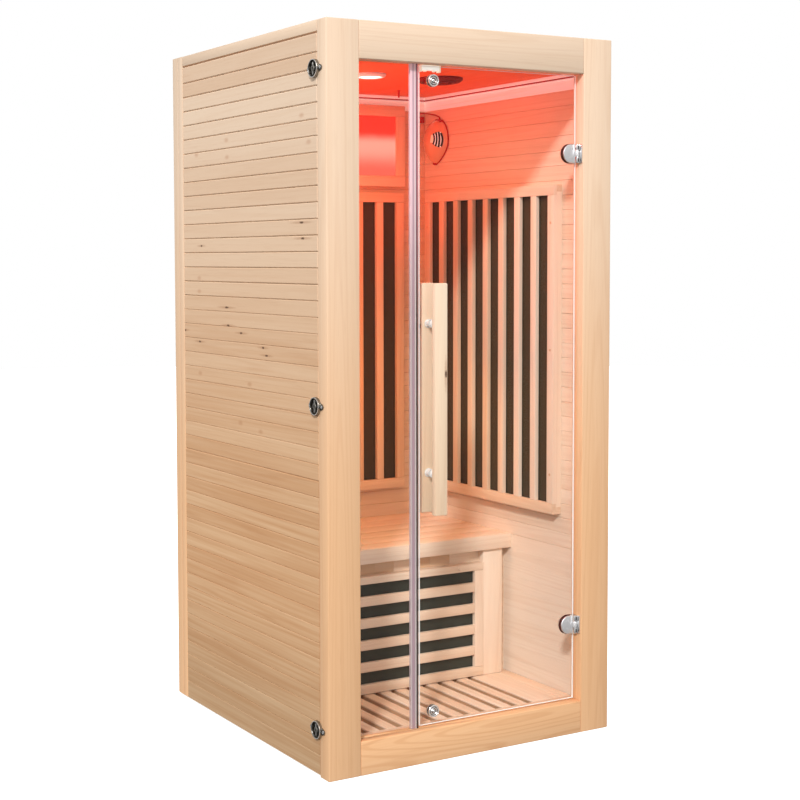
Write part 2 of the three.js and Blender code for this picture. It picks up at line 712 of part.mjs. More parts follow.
function buildLightsAndFittings() {
  const place = [-lampPanelWidth / 2, backWallFace - seam, lampPanelBottom];
  const inside = [lampPanelBorder, lampPanelWidth - lampPanelBorder];
  const insideUp = [lampPanelBorder, lampPanelHeight - lampPanelBorder];
  const border = cut(box([0, lampPanelWidth], [0, lampPanelHeight], [0, lampPanelDepth]),
    box(inside, insideUp, [-1, lampPanelDepth + 1]));
  standOn(addPiece('lamp_panel_frame', border, frameWood), facing.front, place);
  const diffuser = box([inside[0] + seam, inside[1] - seam], [insideUp[0] + seam, insideUp[1] - seam],
    [0, lampPanelDepth - diffuserRecess]);
  standOn(addPiece('lamp_panel_diffuser', diffuser, lampDiffuser), facing.front, place);

  const under = ceilingHeight - seam;
  const lamp = ceilingDisc(lampRadius, lampDrop);
  addPiece('ceiling_lamp', lamp, whitePlastic).position.set(...lampPlace, under - lampDrop);
  const rings = [];
  for (let ring = 1; ring <= ventRings; ring += 1) {
    const outer = ring * ventRingPitch;
    const inner = outer - ventRingWidth;
    rings.push(turned([
      [inner, -1], [outer, -1], [outer, ventRingDepth], [inner, ventRingDepth], [inner, -1],
    ]));
  }
  const vent = cut(ceilingDisc(ventRadius, ventDrop), ...rings);
  addPiece('ceiling_vent', vent, redBrownPlastic).position.set(...ventPlace, under - ventDrop);

  buildSpeaker();
  buildControls();
}

// Round fitting under the ceiling with a bevelled lower edge.
function ceilingDisc(radius, drop) {
  return turned([[0, 0], [radius - discBevel, 0], [radius, discBevel], [radius, drop], [0, drop]]);
}

// Domed speaker on the right wall, narrow at its foot, and its lead, which runs into the back wall.
function buildSpeaker() {
  const rings = 5;
  const rise = speakerDepth - speakerFoot;
  const outline = [[0, 0], [1, 0]];
  for (let ring = 0; ring < rings; ring += 1) {
    const angle = ring / rings * Math.PI / 2;
    outline.push([Math.cos(angle), speakerFoot + rise * Math.sin(angle)]);
  }
  outline.push([0, speakerDepth]);
  const dome = turned(outline, 24);
  const corners = dome.attributes.position;
  for (let corner = 0; corner < corners.count; corner += 1) {
    const lower = Math.max(0, -corners.getY(corner));
    corners.setX(corner, corners.getX(corner) * (1 - speakerTaper * lower ** speakerTaperCurve));
  }
  dome.scale(speakerHalfWidth, speakerHalfHeight, 1);
  const slots = speakerSlotHeights.map((slotHeight, slot) => {
    const centre = speakerSlotStart + slot * speakerSlotPitch;
    const surface = speakerFoot + rise * Math.sqrt(1 - (centre / speakerHalfWidth) ** 2);
    return box([centre - speakerSlotWidth / 2, centre + speakerSlotWidth / 2],
      [-slotHeight / 2, slotHeight / 2], [surface - speakerSlotDepth, speakerDepth + 1]);
  });
  const y = backWallFace - speakerFromBack;
  const z = ceilingHeight - speakerDrop;
  const speaker = addPiece('speaker', cut(dome, ...slots), whitePlastic);
  standOn(speaker, facing.left, [wallFace - seam, y, z]);
  speaker.rotateZ(-speakerTilt);

  const onWall = cableRadius + cableClearance;
  const leadY = y - speakerHalfHeight * Math.sin(speakerTilt);
  const top = z + Math.hypot(
    speakerHalfHeight * Math.cos(speakerTilt), speakerHalfWidth * Math.sin(speakerTilt),
  );
  const wallX = wallFace - onWall;
  const wallY = backWallFace - onWall;
  const route = new THREE.CatmullRomCurve3([
    new THREE.Vector3(wallX, leadY, top + cableClearance),
    new THREE.Vector3(wallX, leadY, top + 5),
    new THREE.Vector3(wallX, leadY + 10, top + 11),
    new THREE.Vector3(wallX, leadY + 40, top + 19),
    new THREE.Vector3(wallX - 1, wallY - 20, top + 23),
    new THREE.Vector3(wallX - 7, wallY - 7, top + 24.5),
    new THREE.Vector3(wallX - 20, wallY - 1, top + 26),
    new THREE.Vector3(wallX - 50, wallY, top + 29),
  ]);
  const section = new THREE.Shape();
  for (let corner = 0; corner < cableSides; corner += 1) {
    const angle = (corner / cableSides) * 2 * Math.PI;
    const point = [cableRadius * Math.cos(angle), cableRadius * Math.sin(angle)];
    if (corner === 0) section.moveTo(...point);
    else section.lineTo(...point);
  }
  const cable = new THREE.ExtrudeGeometry(section, {
    extrudePath: route, steps: cableSteps, bevelEnabled: false,
  });
  addPiece('speaker_cable', cable, darkPlastic);
}

// Control panel on the left wall with its push button.
function buildControls() {
  const y = frontFace + controlFromFront;
  const z = ceilingHeight - controlDrop;
  const plate = box([-controlWidth / 2, controlWidth / 2],
    [-controlHeight / 2, controlHeight / 2], [0, controlDepth]);
  const buttonX = controlWidth / 2 - buttonFromEdge;
  const pocketFloor = controlDepth - buttonPocket;
  const pocket = roundBar('z', buttonRadius + buttonClearance, pocketFloor, controlDepth + 1, [buttonX, 0]);
  standOn(addPiece('control_panel', cut(plate, pocket), darkPlastic), facing.right, [seam - wallFace, y, z]);
  const buttonBack = pocketFloor + buttonTravel + buttonFree;
  const button = roundBar('z', buttonRadius, buttonBack, buttonBack + buttonLength, [buttonX, 0]);
  standOn(addPiece('power_button', button, whitePlastic), facing.right, [seam - wallFace, y, z]);
}

buildFloorAndRoof();
buildWalls();
buildFrontFrame();
buildDoor();
buildClasps();
buildBench();
buildHeaters();
buildLightsAndFittings();

export default cabin;
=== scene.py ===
"""Looks of a one-person infrared sauna cabin: board walls, glass front, heaters, fittings and studio."""

import json
import logging
import math
import random
from dataclasses import dataclass, field, replace
from enum import Enum
from typing import Callable, Iterable, Sequence

import bmesh
import bpy
from bmesh.types import BMEdge, BMesh, BMVert
from mathutils import Matrix, Vector


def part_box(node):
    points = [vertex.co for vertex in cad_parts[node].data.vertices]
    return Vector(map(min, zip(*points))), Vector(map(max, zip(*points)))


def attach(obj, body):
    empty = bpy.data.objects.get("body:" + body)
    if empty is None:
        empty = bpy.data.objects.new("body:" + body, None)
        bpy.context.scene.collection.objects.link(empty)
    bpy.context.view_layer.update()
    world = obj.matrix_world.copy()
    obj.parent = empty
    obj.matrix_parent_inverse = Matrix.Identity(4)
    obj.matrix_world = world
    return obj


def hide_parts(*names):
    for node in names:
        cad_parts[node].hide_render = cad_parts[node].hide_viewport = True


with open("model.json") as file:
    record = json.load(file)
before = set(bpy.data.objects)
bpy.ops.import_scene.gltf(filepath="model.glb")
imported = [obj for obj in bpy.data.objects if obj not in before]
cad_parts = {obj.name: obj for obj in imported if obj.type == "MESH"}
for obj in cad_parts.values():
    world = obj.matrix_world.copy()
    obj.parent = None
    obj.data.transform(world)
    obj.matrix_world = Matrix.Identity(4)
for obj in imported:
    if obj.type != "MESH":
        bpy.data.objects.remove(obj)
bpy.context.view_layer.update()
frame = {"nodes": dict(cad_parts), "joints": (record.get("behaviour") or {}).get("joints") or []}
LOG = logging.getLogger("sauna_cabin")

Colour = tuple[float, float, float]
Point = Sequence[float]
EdgeTest = Callable[[BMEdge], bool]

CABIN = "cabin"
DOOR = "door"
TOUCH = 1e-5
SEAM = 0.0003
JOINT_LINE = 0.0004


class Axis(Enum):
    """Directions of the cabin's frame."""

    X = 0
    Y = 1
    Z = 2

    def unit(self) -> Vector:
        """Unit vector along this axis."""
        return Vector([float(index == self.value) for index in range(3)])


class Slot(Enum):
    """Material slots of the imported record."""

    BOARDS = "boards_wood"
    FRAME = "frame_wood"
    GLASS = "clear_glass"
    SEAL = "seal_plastic"
    CHROME = "chrome"
    NICKEL = "dark_nickel"
    HEATER = "heater_carbon"
    WHITE = "white_plastic"
    DIFFUSER = "lamp_diffuser"
    VENT = "vent_plastic"
    DARK = "dark_plastic"
    STEEL = "unit_steel"


class Side(Enum):
    """Left and right of the cabin, seen from its front."""

    LEFT = -1
    RIGHT = 1

    def word(self) -> str:
        """Name as it stands in the node names."""
        return self.name.lower()


# Shapes


def soften(shape: BMesh, width: float, segments: int = 2, pick: EdgeTest | None = None) -> BMesh:
    """Rounds or chamfers edges of a shape.

    Args:
        shape: The mesh to work on.
        width: Width of the rounding.
        segments: Faces across it, one for a chamfer.
        pick: Says which edges are rounded, all of them if left out.

    Returns:
        The same mesh.
    """
    edges = [edge for edge in shape.edges if pick is None or pick(edge)]
    bmesh.ops.bevel(shape, geom=edges, offset=width, offset_type="OFFSET", affect="EDGES",
                    segments=segments, profile=0.5, material=-1, clamp_overlap=True)
    return shape


def edges_on(across: Axis, face: float, run: Axis | None = None) -> EdgeTest:
    """Makes a test for the edges that lie on one flat face.

    Args:
        across: Axis square to the face.
        face: Place of the face on that axis.
        run: Axis that the edges have to follow, any if left out.

    Returns:
        The test.
    """
    def pick(edge: BMEdge) -> bool:
        """True for an edge on the face that runs the right way."""
        start, end = (vert.co for vert in edge.verts)
        flat = all(abs(point[across.value] - face) < TOUCH for point in (start, end))
        return flat and (run is None or abs((end - start).normalized()[run.value]) > 0.99)
    return pick


def block(low: Point, high: Point, ease: float = 0.0, segments: int = 2,
          pick: EdgeTest | None = None) -> BMesh:
    """Makes a box between two corners.

    Args:
        low: One corner.
        high: The opposite corner.
        ease: Width of the rounding of its edges.
        segments: Faces across the rounding.
        pick: Says which edges are rounded, all of them if left out.

    Returns:
        The mesh.
    """
    low, high = Vector(map(min, low, high)), Vector(map(max, low, high))
    shape = bmesh.new()
    bmesh.ops.create_cube(shape, size=1.0)
    bmesh.ops.scale(shape, vec=high - low, verts=shape.verts)
    bmesh.ops.translate(shape, vec=(low + high) / 2, verts=shape.verts)
    return soften(shape, ease, segments, pick) if ease > 0 else shape


def rod(start: Point, end: Point, radius: float, ease: float = 0.0, sides: int = 24) -> BMesh:
    """Makes a round bar between two points.

    Args:
        start: Middle of one end.
        end: Middle of the other end.
        radius: Radius of the bar.
        ease: Rounding of its two rims.
        sides: Faces round it.

    Returns:
        The mesh.
    """
    start, end = Vector(start), Vector(end)
    shape = bmesh.new()
    bmesh.ops.create_cone(shape, cap_ends=True, segments=sides, radius1=radius, radius2=radius,
                          depth=(end - start).length)
    if ease > 0:
        rims = {edge for face in shape.faces if len(face.verts) == sides for edge in face.edges}
        soften(shape, ease, pick=rims.__contains__)
    aim = Axis.Z.unit().rotation_difference(end - start).to_matrix().to_4x4()
    bmesh.ops.transform(shape, matrix=Matrix.Translation((start + end) / 2) @ aim, verts=shape.verts)
    return shape


def turned(profile: Iterable[tuple[float, float]], base: Point = (0, 0, 0), aim: Point = (0, 0, 1),
           sides: int = 40) -> BMesh:
    """Turns a profile round an axis, as on a lathe.

    Args:
        profile: Points of radius and height above the base.
        base: Where the axis starts.
        aim: Direction of the axis.
        sides: Steps of the full turn.

    Returns:
        The mesh.
    """
    shape = bmesh.new()
    points = [shape.verts.new((radius, 0.0, height)) for radius, height in profile]
    edges = [shape.edges.new(pair) for pair in zip(points, points[1:])]
    bmesh.ops.spin(shape, geom=points + edges, cent=(0, 0, 0), axis=(0, 0, 1),
                   angle=2 * math.pi, steps=sides, use_merge=True)
    bmesh.ops.remove_doubles(shape, verts=shape.verts, dist=1e-6)
    turn = Axis.Z.unit().rotation_difference(Vector(aim)).to_matrix().to_4x4()
    bmesh.ops.transform(shape, matrix=Matrix.Translation(base) @ turn, verts=shape.verts)
    return shape


def prism(outline: Iterable[Point], rise: Point, ease: float = 0.0, segments: int = 2) -> BMesh:
    """Extrudes a flat outline.

    Args:
        outline: Corners of the outline, in order.
        rise: How far and which way it is extruded.
        ease: Rounding of all edges that turn by more than 30 degrees.
        segments: Faces across the rounding.

    Returns:
        The mesh.
    """
    shape = bmesh.new()
    cap = shape.faces.new([shape.verts.new(point) for point in outline])
    grown = bmesh.ops.extrude_face_region(shape, geom=[cap], use_keep_orig=True)["geom"]
    bmesh.ops.translate(shape, vec=Vector(rise), verts=[item for item in grown if isinstance(item, BMVert)])
    bmesh.ops.recalc_face_normals(shape, faces=shape.faces)
    if ease > 0:
        soften(shape, ease, segments, lambda edge: edge.calc_face_angle(0.0) > math.radians(30))
    return shape


def tube(points: Iterable[Point], radius: float) -> BMesh:
    """Makes a smooth round tube through points.

    Args:
        points: Places that its middle line passes.
        radius: Radius of the tube.

    Returns:
        The mesh.
    """
    route = list(points)
    curve = bpy.data.curves.new("route", "CURVE")
    curve.dimensions = "3D"
    curve.bevel_depth = radius
    curve.bevel_resolution = 3
    curve.resolution_u = 6
    curve.use_fill_caps = True
    spline = curve.splines.new("BEZIER")
    spline.bezier_points.add(len(route) - 1)
    for bend, place in zip(spline.bezier_points, route):
        bend.co = place
        bend.handle_left_type = "AUTO"
        bend.handle_right_type = "AUTO"
    holder = bpy.data.objects.new("route", curve)
    mesh = bpy.data.meshes.new_from_object(holder)
    shape = bmesh.new()
    shape.from_mesh(mesh)
    bmesh.ops.remove_doubles(shape, verts=shape.verts, dist=1e-7)
    bpy.data.objects.remove(holder)
    bpy.data.curves.remove(curve)
    bpy.data.meshes.remove(mesh)
    return shape


def eased_copy(node: str, ease: float) -> BMesh:
    """Copies a solid of the frame and rounds the outer edges of its box.

    Args:
        node: Name of the solid.
        ease: Width of the rounding.

    Returns:
        The mesh.
    """
    low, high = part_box(node)
    shape = bmesh.new()
    shape.from_mesh(frame["nodes"][node].data)
    bmesh.ops.remove_doubles(shape, verts=shape.verts, dist=TOUCH)
    bmesh.ops.dissolve_limit(shape, angle_limit=math.radians(1), verts=shape.verts, edges=shape.edges)

    def outer(edge: BMEdge) -> bool:
        """True for an edge that lies on two faces of the box."""
        start, end = (vert.co for vert in edge.verts)
        faces = [abs(start[axis] - side[axis]) + abs(end[axis] - side[axis]) < TOUCH
                 for axis in range(3) for side in (low, high)]
        return sum(faces) >= 2
    return soften(shape, ease, pick=outer)


class Solid:
    """Collects the shapes of one piece, with a finish number on each face and two board attributes."""

    def __init__(self) -> None:
        """Starts with no shape."""
        self.mesh = bmesh.new()

    def add(self, shape: BMesh, finish: int = 0, tone: float = 0.5, shift: float = 0.0) -> "Solid":
        """Takes in one closed shape.

        Args:
            shape: The mesh, which is freed.
            finish: Number of its finish in the piece's list.
            tone: How tan its timber is, from 0 to 1.
            shift: Which stretch of timber it is cut from.

        Returns:
            This solid.
        """
        bmesh.ops.recalc_face_normals(shape, faces=shape.faces)
        tones = shape.verts.layers.float.new("board_tone")
        shifts = shape.verts.layers.float.new("board_shift")
        for vert in shape.verts:
            vert[tones] = tone
            vert[shifts] = shift
        for face in shape.faces:
            face.material_index = finish
        carrier = bpy.data.meshes.new("carrier")
        shape.to_mesh(carrier)
        shape.free()
        self.mesh.from_mesh(carrier)
        bpy.data.meshes.remove(carrier)
        return self

    def turn_to(self, matrix: Matrix) -> "Solid":
        """Moves all shapes that are in by a matrix."""
        bmesh.ops.transform(self.mesh, matrix=matrix, verts=self.mesh.verts)
        return self

    def piece(self, name: str, finishes: Sequence[bpy.types.Material], slot: Slot, body: str = CABIN,
              stands_for: Iterable[str] = (), crease: float = 35.0) -> bpy.types.Object:
        """Makes the finished piece that rides on a body.

        Args:
            name: Name of the piece.
            finishes: Materials, in the order of the finish numbers.
            slot: The record's slot of the piece; not used.
            body: Body that carries it.
            stands_for: Solids of the frame that it replaces.
            crease: Edges sharper than this many degrees stay sharp.

        Returns:
            The object.
        """
        mesh = bpy.data.meshes.new(name)
        self.mesh.to_mesh(mesh)
        self.mesh.free()
        mesh.shade_smooth()
        mesh.set_sharp_from_angle(angle=math.radians(crease))
        for finish in finishes:
            mesh.materials.append(finish)
        made = bpy.data.objects.new(name, mesh)
        bpy.context.scene.collection.objects.link(made)
        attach(made, body)
        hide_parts(*stands_for)
        LOG.info("%s: %d faces, rides on %s", name, len(mesh.polygons), body)
        return made


# Finishes


class NodeGraph:
    """Short ways to add and join the shader nodes of one material."""

    def __init__(self, name: str) -> None:
        """Makes the material with its shader and output."""
        self.material = bpy.data.materials.new(name)
        self.material.use_nodes = True
        self.tree = self.material.node_tree
        self.shader = self.tree.nodes["Principled BSDF"]
        self.place = self.add("ShaderNodeTexCoord").outputs["Object"]

    def feed(self, socket: bpy.types.NodeSocket, value: object) -> None:
        """Links a socket to an output, or sets its value."""
        if isinstance(value, bpy.types.NodeSocket):
            self.tree.links.new(value, socket)
        else:
            socket.default_value = value

    def add(self, kind: str, inputs: dict[str | int, object] | None = None,
            **settings: object) -> bpy.types.Node:
        """Adds a node.

        Args:
            kind: Type name of the node.
            inputs: Values or outputs for its input sockets.
            settings: Properties of the node.

        Returns:
            The node.
        """
        node = self.tree.nodes.new(kind)
        for key, value in settings.items():
            setattr(node, key, value)
        for key, value in (inputs or {}).items():
            self.feed(node.inputs[key], value)
        return node

    def math(self, operation: str, first: object, second: object = 0.0) -> bpy.types.NodeSocket:
        """Output of a math node."""
        return self.add("ShaderNodeMath", {0: first, 1: second}, operation=operation).outputs[0]

    def vector(self, operation: str, first: object, second: object) -> bpy.types.NodeSocket:
        """Output of a vector math node."""
        return self.add("ShaderNodeVectorMath", {0: first, 1: second}, operation=operation).outputs[0]

    def attribute(self, name: str) -> bpy.types.NodeSocket:
        """Number that the mesh carries under a name."""
        return self.add("ShaderNodeAttribute", attribute_name=name).outputs["Fac"]

    def height(self) -> bpy.types.NodeSocket:
        """Height above the floor."""
        return self.add("ShaderNodeSeparateXYZ", {0: self.place}).outputs["Z"]

    def noise(self, place: object, scale: float = 1.0, detail: float = 2.0) -> bpy.types.NodeSocket:
        """Cloudy noise from 0 to 1."""
        inputs = {"Vector": place, "Scale": scale, "Detail": detail}
        return self.add("ShaderNodeTexNoise", inputs).outputs["Fac"]

    def remap(self, value: object, low: float, high: float, to_low: float = 0.0,
              to_high: float = 1.0) -> bpy.types.NodeSocket:
        """Smooth step of a value from one range to another, held at its ends."""
        inputs = {"Value": value, 1: low, 2: high, 3: to_low, 4: to_high}
        return self.add("ShaderNodeMapRange", inputs, interpolation_type="SMOOTHSTEP").outputs[0]

    def mix(self, share: object, first: object, second: object, blend: str = "MIX") -> bpy.types.NodeSocket:
        """Mix of two colours.

        Args:
            share: Share of the second colour.
            first: First colour.
            second: Second colour.
            blend: How the second is laid on the first.

        Returns:
            The mixed colour.
        """
        colours = [(*colour, 1.0) if isinstance(colour, tuple) else colour for colour in (first, second)]
        inputs = {0: share, 6: colours[0], 7: colours[1]}
        return self.add("ShaderNodeMix", inputs, data_type="RGBA", blend_type=blend).outputs[2]

    def bump(self, height: object, strength: float, distance: float) -> None:
        """Gives the shader a relief."""
        inputs = {"Height": height, "Strength": strength, "Distance": distance}
        self.feed(self.shader.inputs["Normal"], self.add("ShaderNodeBump", inputs).outputs[0])

    def surface(self, sockets: dict[str, object]) -> bpy.types.Material:
        """Sets or links sockets of the shader.

        Args:
            sockets: Values or outputs by the socket's name.

        Returns:
            The material.
        """
        for name, value in sockets.items():
            is_colour = isinstance(value, tuple) and len(value) == 3
            self.feed(self.shader.inputs[name], (*value, 1.0) if is_colour else value)
        return self.material


@dataclass(frozen=True)
class Knot:
    """A spot in a board: its place, its length along the grain and its girth."""

    place: tuple[float, float, float]
    length: float = 0.008
    girth: float = 0.0030


@dataclass(frozen=True)
class TimberFinish:
    """Planed softwood with streaks, year rings, knots and a warmer tone near the floor; where set, painted shade
    darkens it close to the floor, on the linings mostly in red, and a painted glow lights it.
    """

    name: str
    grain: Axis
    pale: Colour = (0.87, 0.67, 0.50)
    tan: Colour = (0.70, 0.45, 0.28)
    foot_tint: Colour = (0.98, 0.78, 0.58)
    streak: float = 0.45
    ring: float = 0.14
    figure_run: float = 0.35
    calm_above: float = 9.0
    lively_below: float = 0.0
    glow: float = 0.0
    painted_floor_shade: Colour = (1.0, 1.0, 1.0)
    ground_reach: float = 0.45
    knots: tuple[Knot, ...] = ()
    blushes: tuple[Knot, ...] = ()

    def stretched(self, graph: NodeGraph, place: bpy.types.NodeSocket, along: float,
                  across: float) -> bpy.types.NodeSocket:
        """Coordinates drawn out along the grain.

        Args:
            graph: Graph of the material.
            place: Coordinates on the board.
            along: Features per metre along the grain.
            across: Features per metre across it.

        Returns:
            The coordinates.
        """
        scale = [along if axis is self.grain else across for axis in Axis]
        return graph.vector("MULTIPLY", place, scale)

    def nearest(self, graph: NodeGraph, spots: tuple[Knot, ...]) -> bpy.types.NodeSocket:
        """Distance to the nearest of some spots, in spot sizes, with a ragged edge.

        Args:
            graph: Graph of the material.
            spots: The knots or blushes.

        Returns:
            The distance.
        """
        least: bpy.types.NodeSocket | float = 9.0
        for spot in spots:
            scale = Vector([1 / (spot.length if axis is self.grain else spot.girth) for axis in Axis])
            spread = graph.vector("MULTIPLY", graph.place, scale)
            centre = scale * Vector(spot.place)
            apart = graph.add("ShaderNodeVectorMath", {0: spread, 1: centre}, operation="DISTANCE")
            least = graph.math("MINIMUM", least, apart.outputs["Value"])
        ragged = graph.math("SUBTRACT", graph.noise(graph.place, 240.0, 2.0), 0.5)
        return graph.math("ADD", least, ragged)

    def make(self) -> bpy.types.Material:
        """Makes the material once for each direction of the grain.

        Returns:
            The material.
        """
        name = f"{self.name}_{self.grain.name.lower()}"
        if name in bpy.data.materials:
            return bpy.data.materials[name]
        graph = NodeGraph(name)
        board = graph.add("ShaderNodeVectorMath", {0: (3.1, 5.3, 7.7), "Scale": graph.attribute("board_shift")},
                          operation="SCALE").outputs[0]
        place = graph.vector("ADD", graph.place, board)
        streak = graph.noise(self.stretched(graph, place, 1.8, 105.0), detail=4.0)
        broad = graph.noise(self.stretched(graph, place, 0.9, 7.0), detail=2.0)
        fibre = graph.noise(self.stretched(graph, place, 11.0, 420.0), detail=2.0)
        figure = graph.noise(self.stretched(graph, place, self.figure_run, 11.0), detail=1.0)
        ring = graph.math("SINE", graph.math("MULTIPLY", figure, 85.0))
        ring = graph.math("MULTIPLY", graph.math("ADD", ring, 1.0), 0.5)

        life = graph.remap(graph.height(), self.calm_above, self.calm_above - 0.35, 0.4, 1.0)
        lively = graph.remap(graph.height(), self.lively_below, self.lively_below - 0.2, 1.0, 2.0)
        lines = graph.math("MULTIPLY", graph.math("SUBTRACT", streak, 0.5), lively)
        mottle = graph.math("ADD", lines, graph.math("SUBTRACT", broad, 0.5))
        mottle = graph.math("MULTIPLY", graph.math("MULTIPLY", mottle, life), self.streak)
        tan = graph.math("ADD", mottle, graph.attribute("board_tone"))
        colour = graph.mix(graph.remap(tan, 0.0, 1.0), self.pale, self.tan)
        late = graph.math("MULTIPLY", graph.math("MULTIPLY", graph.remap(ring, 0.62, 1.0), life), self.ring)
        colour = graph.mix(late, colour, (0.74, 0.56, 0.42), "MULTIPLY")
        pores = graph.math("MULTIPLY", graph.remap(fibre, 0.52, 0.75), 0.12)
        colour = graph.mix(pores, colour, (0.60, 0.44, 0.32), "MULTIPLY")
        if self.blushes:
            apart = self.nearest(graph, self.blushes)
            colour = graph.mix(graph.remap(apart, 2.4, 0.3, 0.0, 0.40), colour, (0.52, 0.25, 0.13))
        if self.knots:
            tails = tuple(replace(knot, length=4 * knot.length) for knot in self.knots)
            apart = self.nearest(graph, tails)
            colour = graph.mix(graph.remap(apart, 1.6, 0.5, 0.0, 0.40), colour, (0.42, 0.20, 0.10))
            apart = self.nearest(graph, self.knots)
            colour = graph.mix(graph.remap(apart, 1.2, 0.5, 0.0, 0.9), colour, (0.10, 0.045, 0.025))
        low = graph.remap(graph.height(), 1.75, 0.50)
        colour = graph.mix(low, colour, self.foot_tint, "MULTIPLY")
        # Painted shade: close to the floor the colour is darkened, standing for the shade there.
        ground = graph.remap(graph.height(), self.ground_reach, 0.0)
        colour = graph.mix(ground, colour, self.painted_floor_shade, "MULTIPLY")

        relief = graph.math("ADD", graph.math("MULTIPLY", fibre, 0.6), graph.math("MULTIPLY", streak, 0.4))
        graph.bump(relief, 0.10, 0.001)
        return graph.surface({"Base Color": colour, "Roughness": graph.remap(streak, 0.2, 0.8, 0.50, 0.64),
                              "Specular IOR Level": 0.30, "Emission Color": colour,
                              "Emission Strength": self.glow})


@dataclass(frozen=True)
class GlassFinish:
    """Clear toughened sheet: see-through, with a mirror share that grows at low angles."""

    name: str = "clear_glass_sheet"
    tint: Colour = (0.985, 0.99, 0.987)
    gloss: float = 0.02
    density: float = 1.22

    def make(self) -> bpy.types.Material:
        """Makes the material.

        Returns:
            The material.
        """
        graph = NodeGraph(self.name)
        smear = graph.remap(graph.noise(graph.place, 7.0, 3.0), 0.35, 0.7, self.gloss, self.gloss * 3)
        mirror = graph.add("ShaderNodeBsdfGlossy", {"Roughness": smear})
        clear = graph.add("ShaderNodeBsdfTransparent", {0: (*self.tint, 1.0)})
        inside = graph.add("ShaderNodeNewGeometry").outputs["Backfacing"]
        way = graph.math("SUBTRACT", 1.0, graph.math("MULTIPLY", inside, 2.0))
        share = graph.add("ShaderNodeFresnel", {"IOR": graph.math("POWER", self.density, way)}).outputs[0]
        both = graph.add("ShaderNodeMixShader", {0: share, 1: clear.outputs[0], 2: mirror.outputs[0]})
        graph.tree.links.new(both.outputs[0], graph.tree.nodes["Material Output"].inputs["Surface"])
        graph.tree.nodes.remove(graph.shader)
        return graph.material


@dataclass(frozen=True)
class MouldedFinish:
    """Moulded plastic or polished glass edge, with faint mottling and a soft skin."""

    name: str
    colour: Colour
    roughness: float = 0.35
    mottle: float = 0.12
    grain: float = 900.0
    relief: float = 0.05
    coat: float = 0.0
    glow: float = 0.0
    see_through: float = 0.0

    def make(self) -> bpy.types.Material:
        """Makes the material.

        Returns:
            The material.
        """
        graph = NodeGraph(self.name)
        clouds = graph.noise(graph.place, 24.0, 3.0)
        darker = tuple(part * 0.72 for part in self.colour)
        share = graph.math("MULTIPLY", clouds, self.mottle * 2)
        skin = graph.noise(graph.place, self.grain, 2.0)
        graph.bump(skin, self.relief, 0.0005)
        spread = graph.remap(clouds, 0.3, 0.7, self.roughness * 0.85, self.roughness * 1.15)
        return graph.surface({
            "Base Color": graph.mix(share, self.colour, darker), "Roughness": spread,
            "Coat Weight": self.coat, "Emission Color": self.colour, "Emission Strength": self.glow,
            "Alpha": 1.0 - self.see_through,
        })


@dataclass(frozen=True)
class SealFinish:
    """Milky strip of soft plastic, mauve low down and whiter and glowing higher up, which is painted light from the
    lit ceiling.
    """

    name: str = "milky_seal"
    high: Colour = (0.88, 0.60, 0.64)
    low: Colour = (0.64, 0.50, 0.52)
    glow: float = 0.16
    density: tuple[float, float] = (0.52, 0.80)

    def make(self) -> bpy.types.Material:
        """Makes the material.

        Returns:
            The material.
        """
        graph = NodeGraph(self.name)
        cloud = graph.noise(graph.place, 20.0, 2.0)
        height = graph.math("ADD", graph.height(), graph.math("MULTIPLY", cloud, 0.10))
        # Painted light: higher up the strip is whiter and glows, standing for the ceiling's light through it.
        upper = graph.remap(height, 1.15, 1.65)
        return graph.surface({
            "Base Color": graph.mix(upper, self.low, self.high), "Roughness": 0.32,
            "Emission Color": graph.mix(upper, (0.0, 0.0, 0.0), self.high), "Emission Strength": self.glow,
            "Alpha": graph.remap(upper, 0.0, 1.0, *self.density),
        })


@dataclass(frozen=True)
class MetalFinish:
    """Plated metal with brushed streaks and brighter, worn edges."""

    name: str
    colour: Colour
    worn: Colour
    roughness: float
    wear: float = 0.5

    def make(self) -> bpy.types.Material:
        """Makes the material.

        Returns:
            The material.
        """
        graph = NodeGraph(self.name)
        cloud = graph.noise(graph.place, 160.0, 3.0)
        brushed = graph.noise(graph.vector("MULTIPLY", graph.place, (300.0, 300.0, 3000.0)), 1.0, 2.0)
        edge = graph.add("ShaderNodeNewGeometry").outputs["Pointiness"]
        rubbed = graph.math("MULTIPLY", graph.remap(edge, 0.50, 0.60), self.wear)
        spots = graph.math("MULTIPLY", graph.remap(cloud, 0.52, 0.72), self.wear * 0.6)
        share = graph.math("MAXIMUM", rubbed, spots)
        graph.bump(brushed, 0.03, 0.0004)
        rough = graph.remap(cloud, 0.3, 0.7, self.roughness * 0.8, self.roughness * 1.3)
        return graph.surface({"Base Color": graph.mix(share, self.colour, self.worn), "Metallic": 1.0,
                              "Roughness": rough})


@dataclass(frozen=True)
class CarbonFinish:
    """Dark heating film with a fine square weave and a dull sheen."""

    name: str = "carbon_film"
    high: Colour = (0.058, 0.034, 0.012)
    low: Colour = (0.042, 0.046, 0.036)
    weave: float = 0.0024

    def make(self) -> bpy.types.Material:
        """Makes the material.

        Returns:
            The material.
        """
        graph = NodeGraph(self.name)
        turns = graph.vector("MULTIPLY", graph.place, (2 * math.pi / self.weave,) * 3)
        parts = graph.add("ShaderNodeSeparateXYZ", {0: turns})
        level = graph.math("ADD", parts.outputs["X"], parts.outputs["Y"])
        thread = graph.math("MULTIPLY", graph.math("SINE", level), graph.math("SINE", parts.outputs["Z"]))
        cloud = graph.noise(graph.place, 13.0, 3.0)
        colour = graph.mix(graph.remap(graph.height(), 0.35, 0.75), self.low, self.high)
        colour = graph.mix(graph.math("MULTIPLY", cloud, 0.4), colour, (0.050, 0.044, 0.028))
        graph.bump(thread, 0.12, 0.0005)
        return graph.surface({"Base Color": colour, "Roughness": graph.remap(cloud, 0.3, 0.7, 0.42, 0.58),
                              "Specular IOR Level": 0.25})


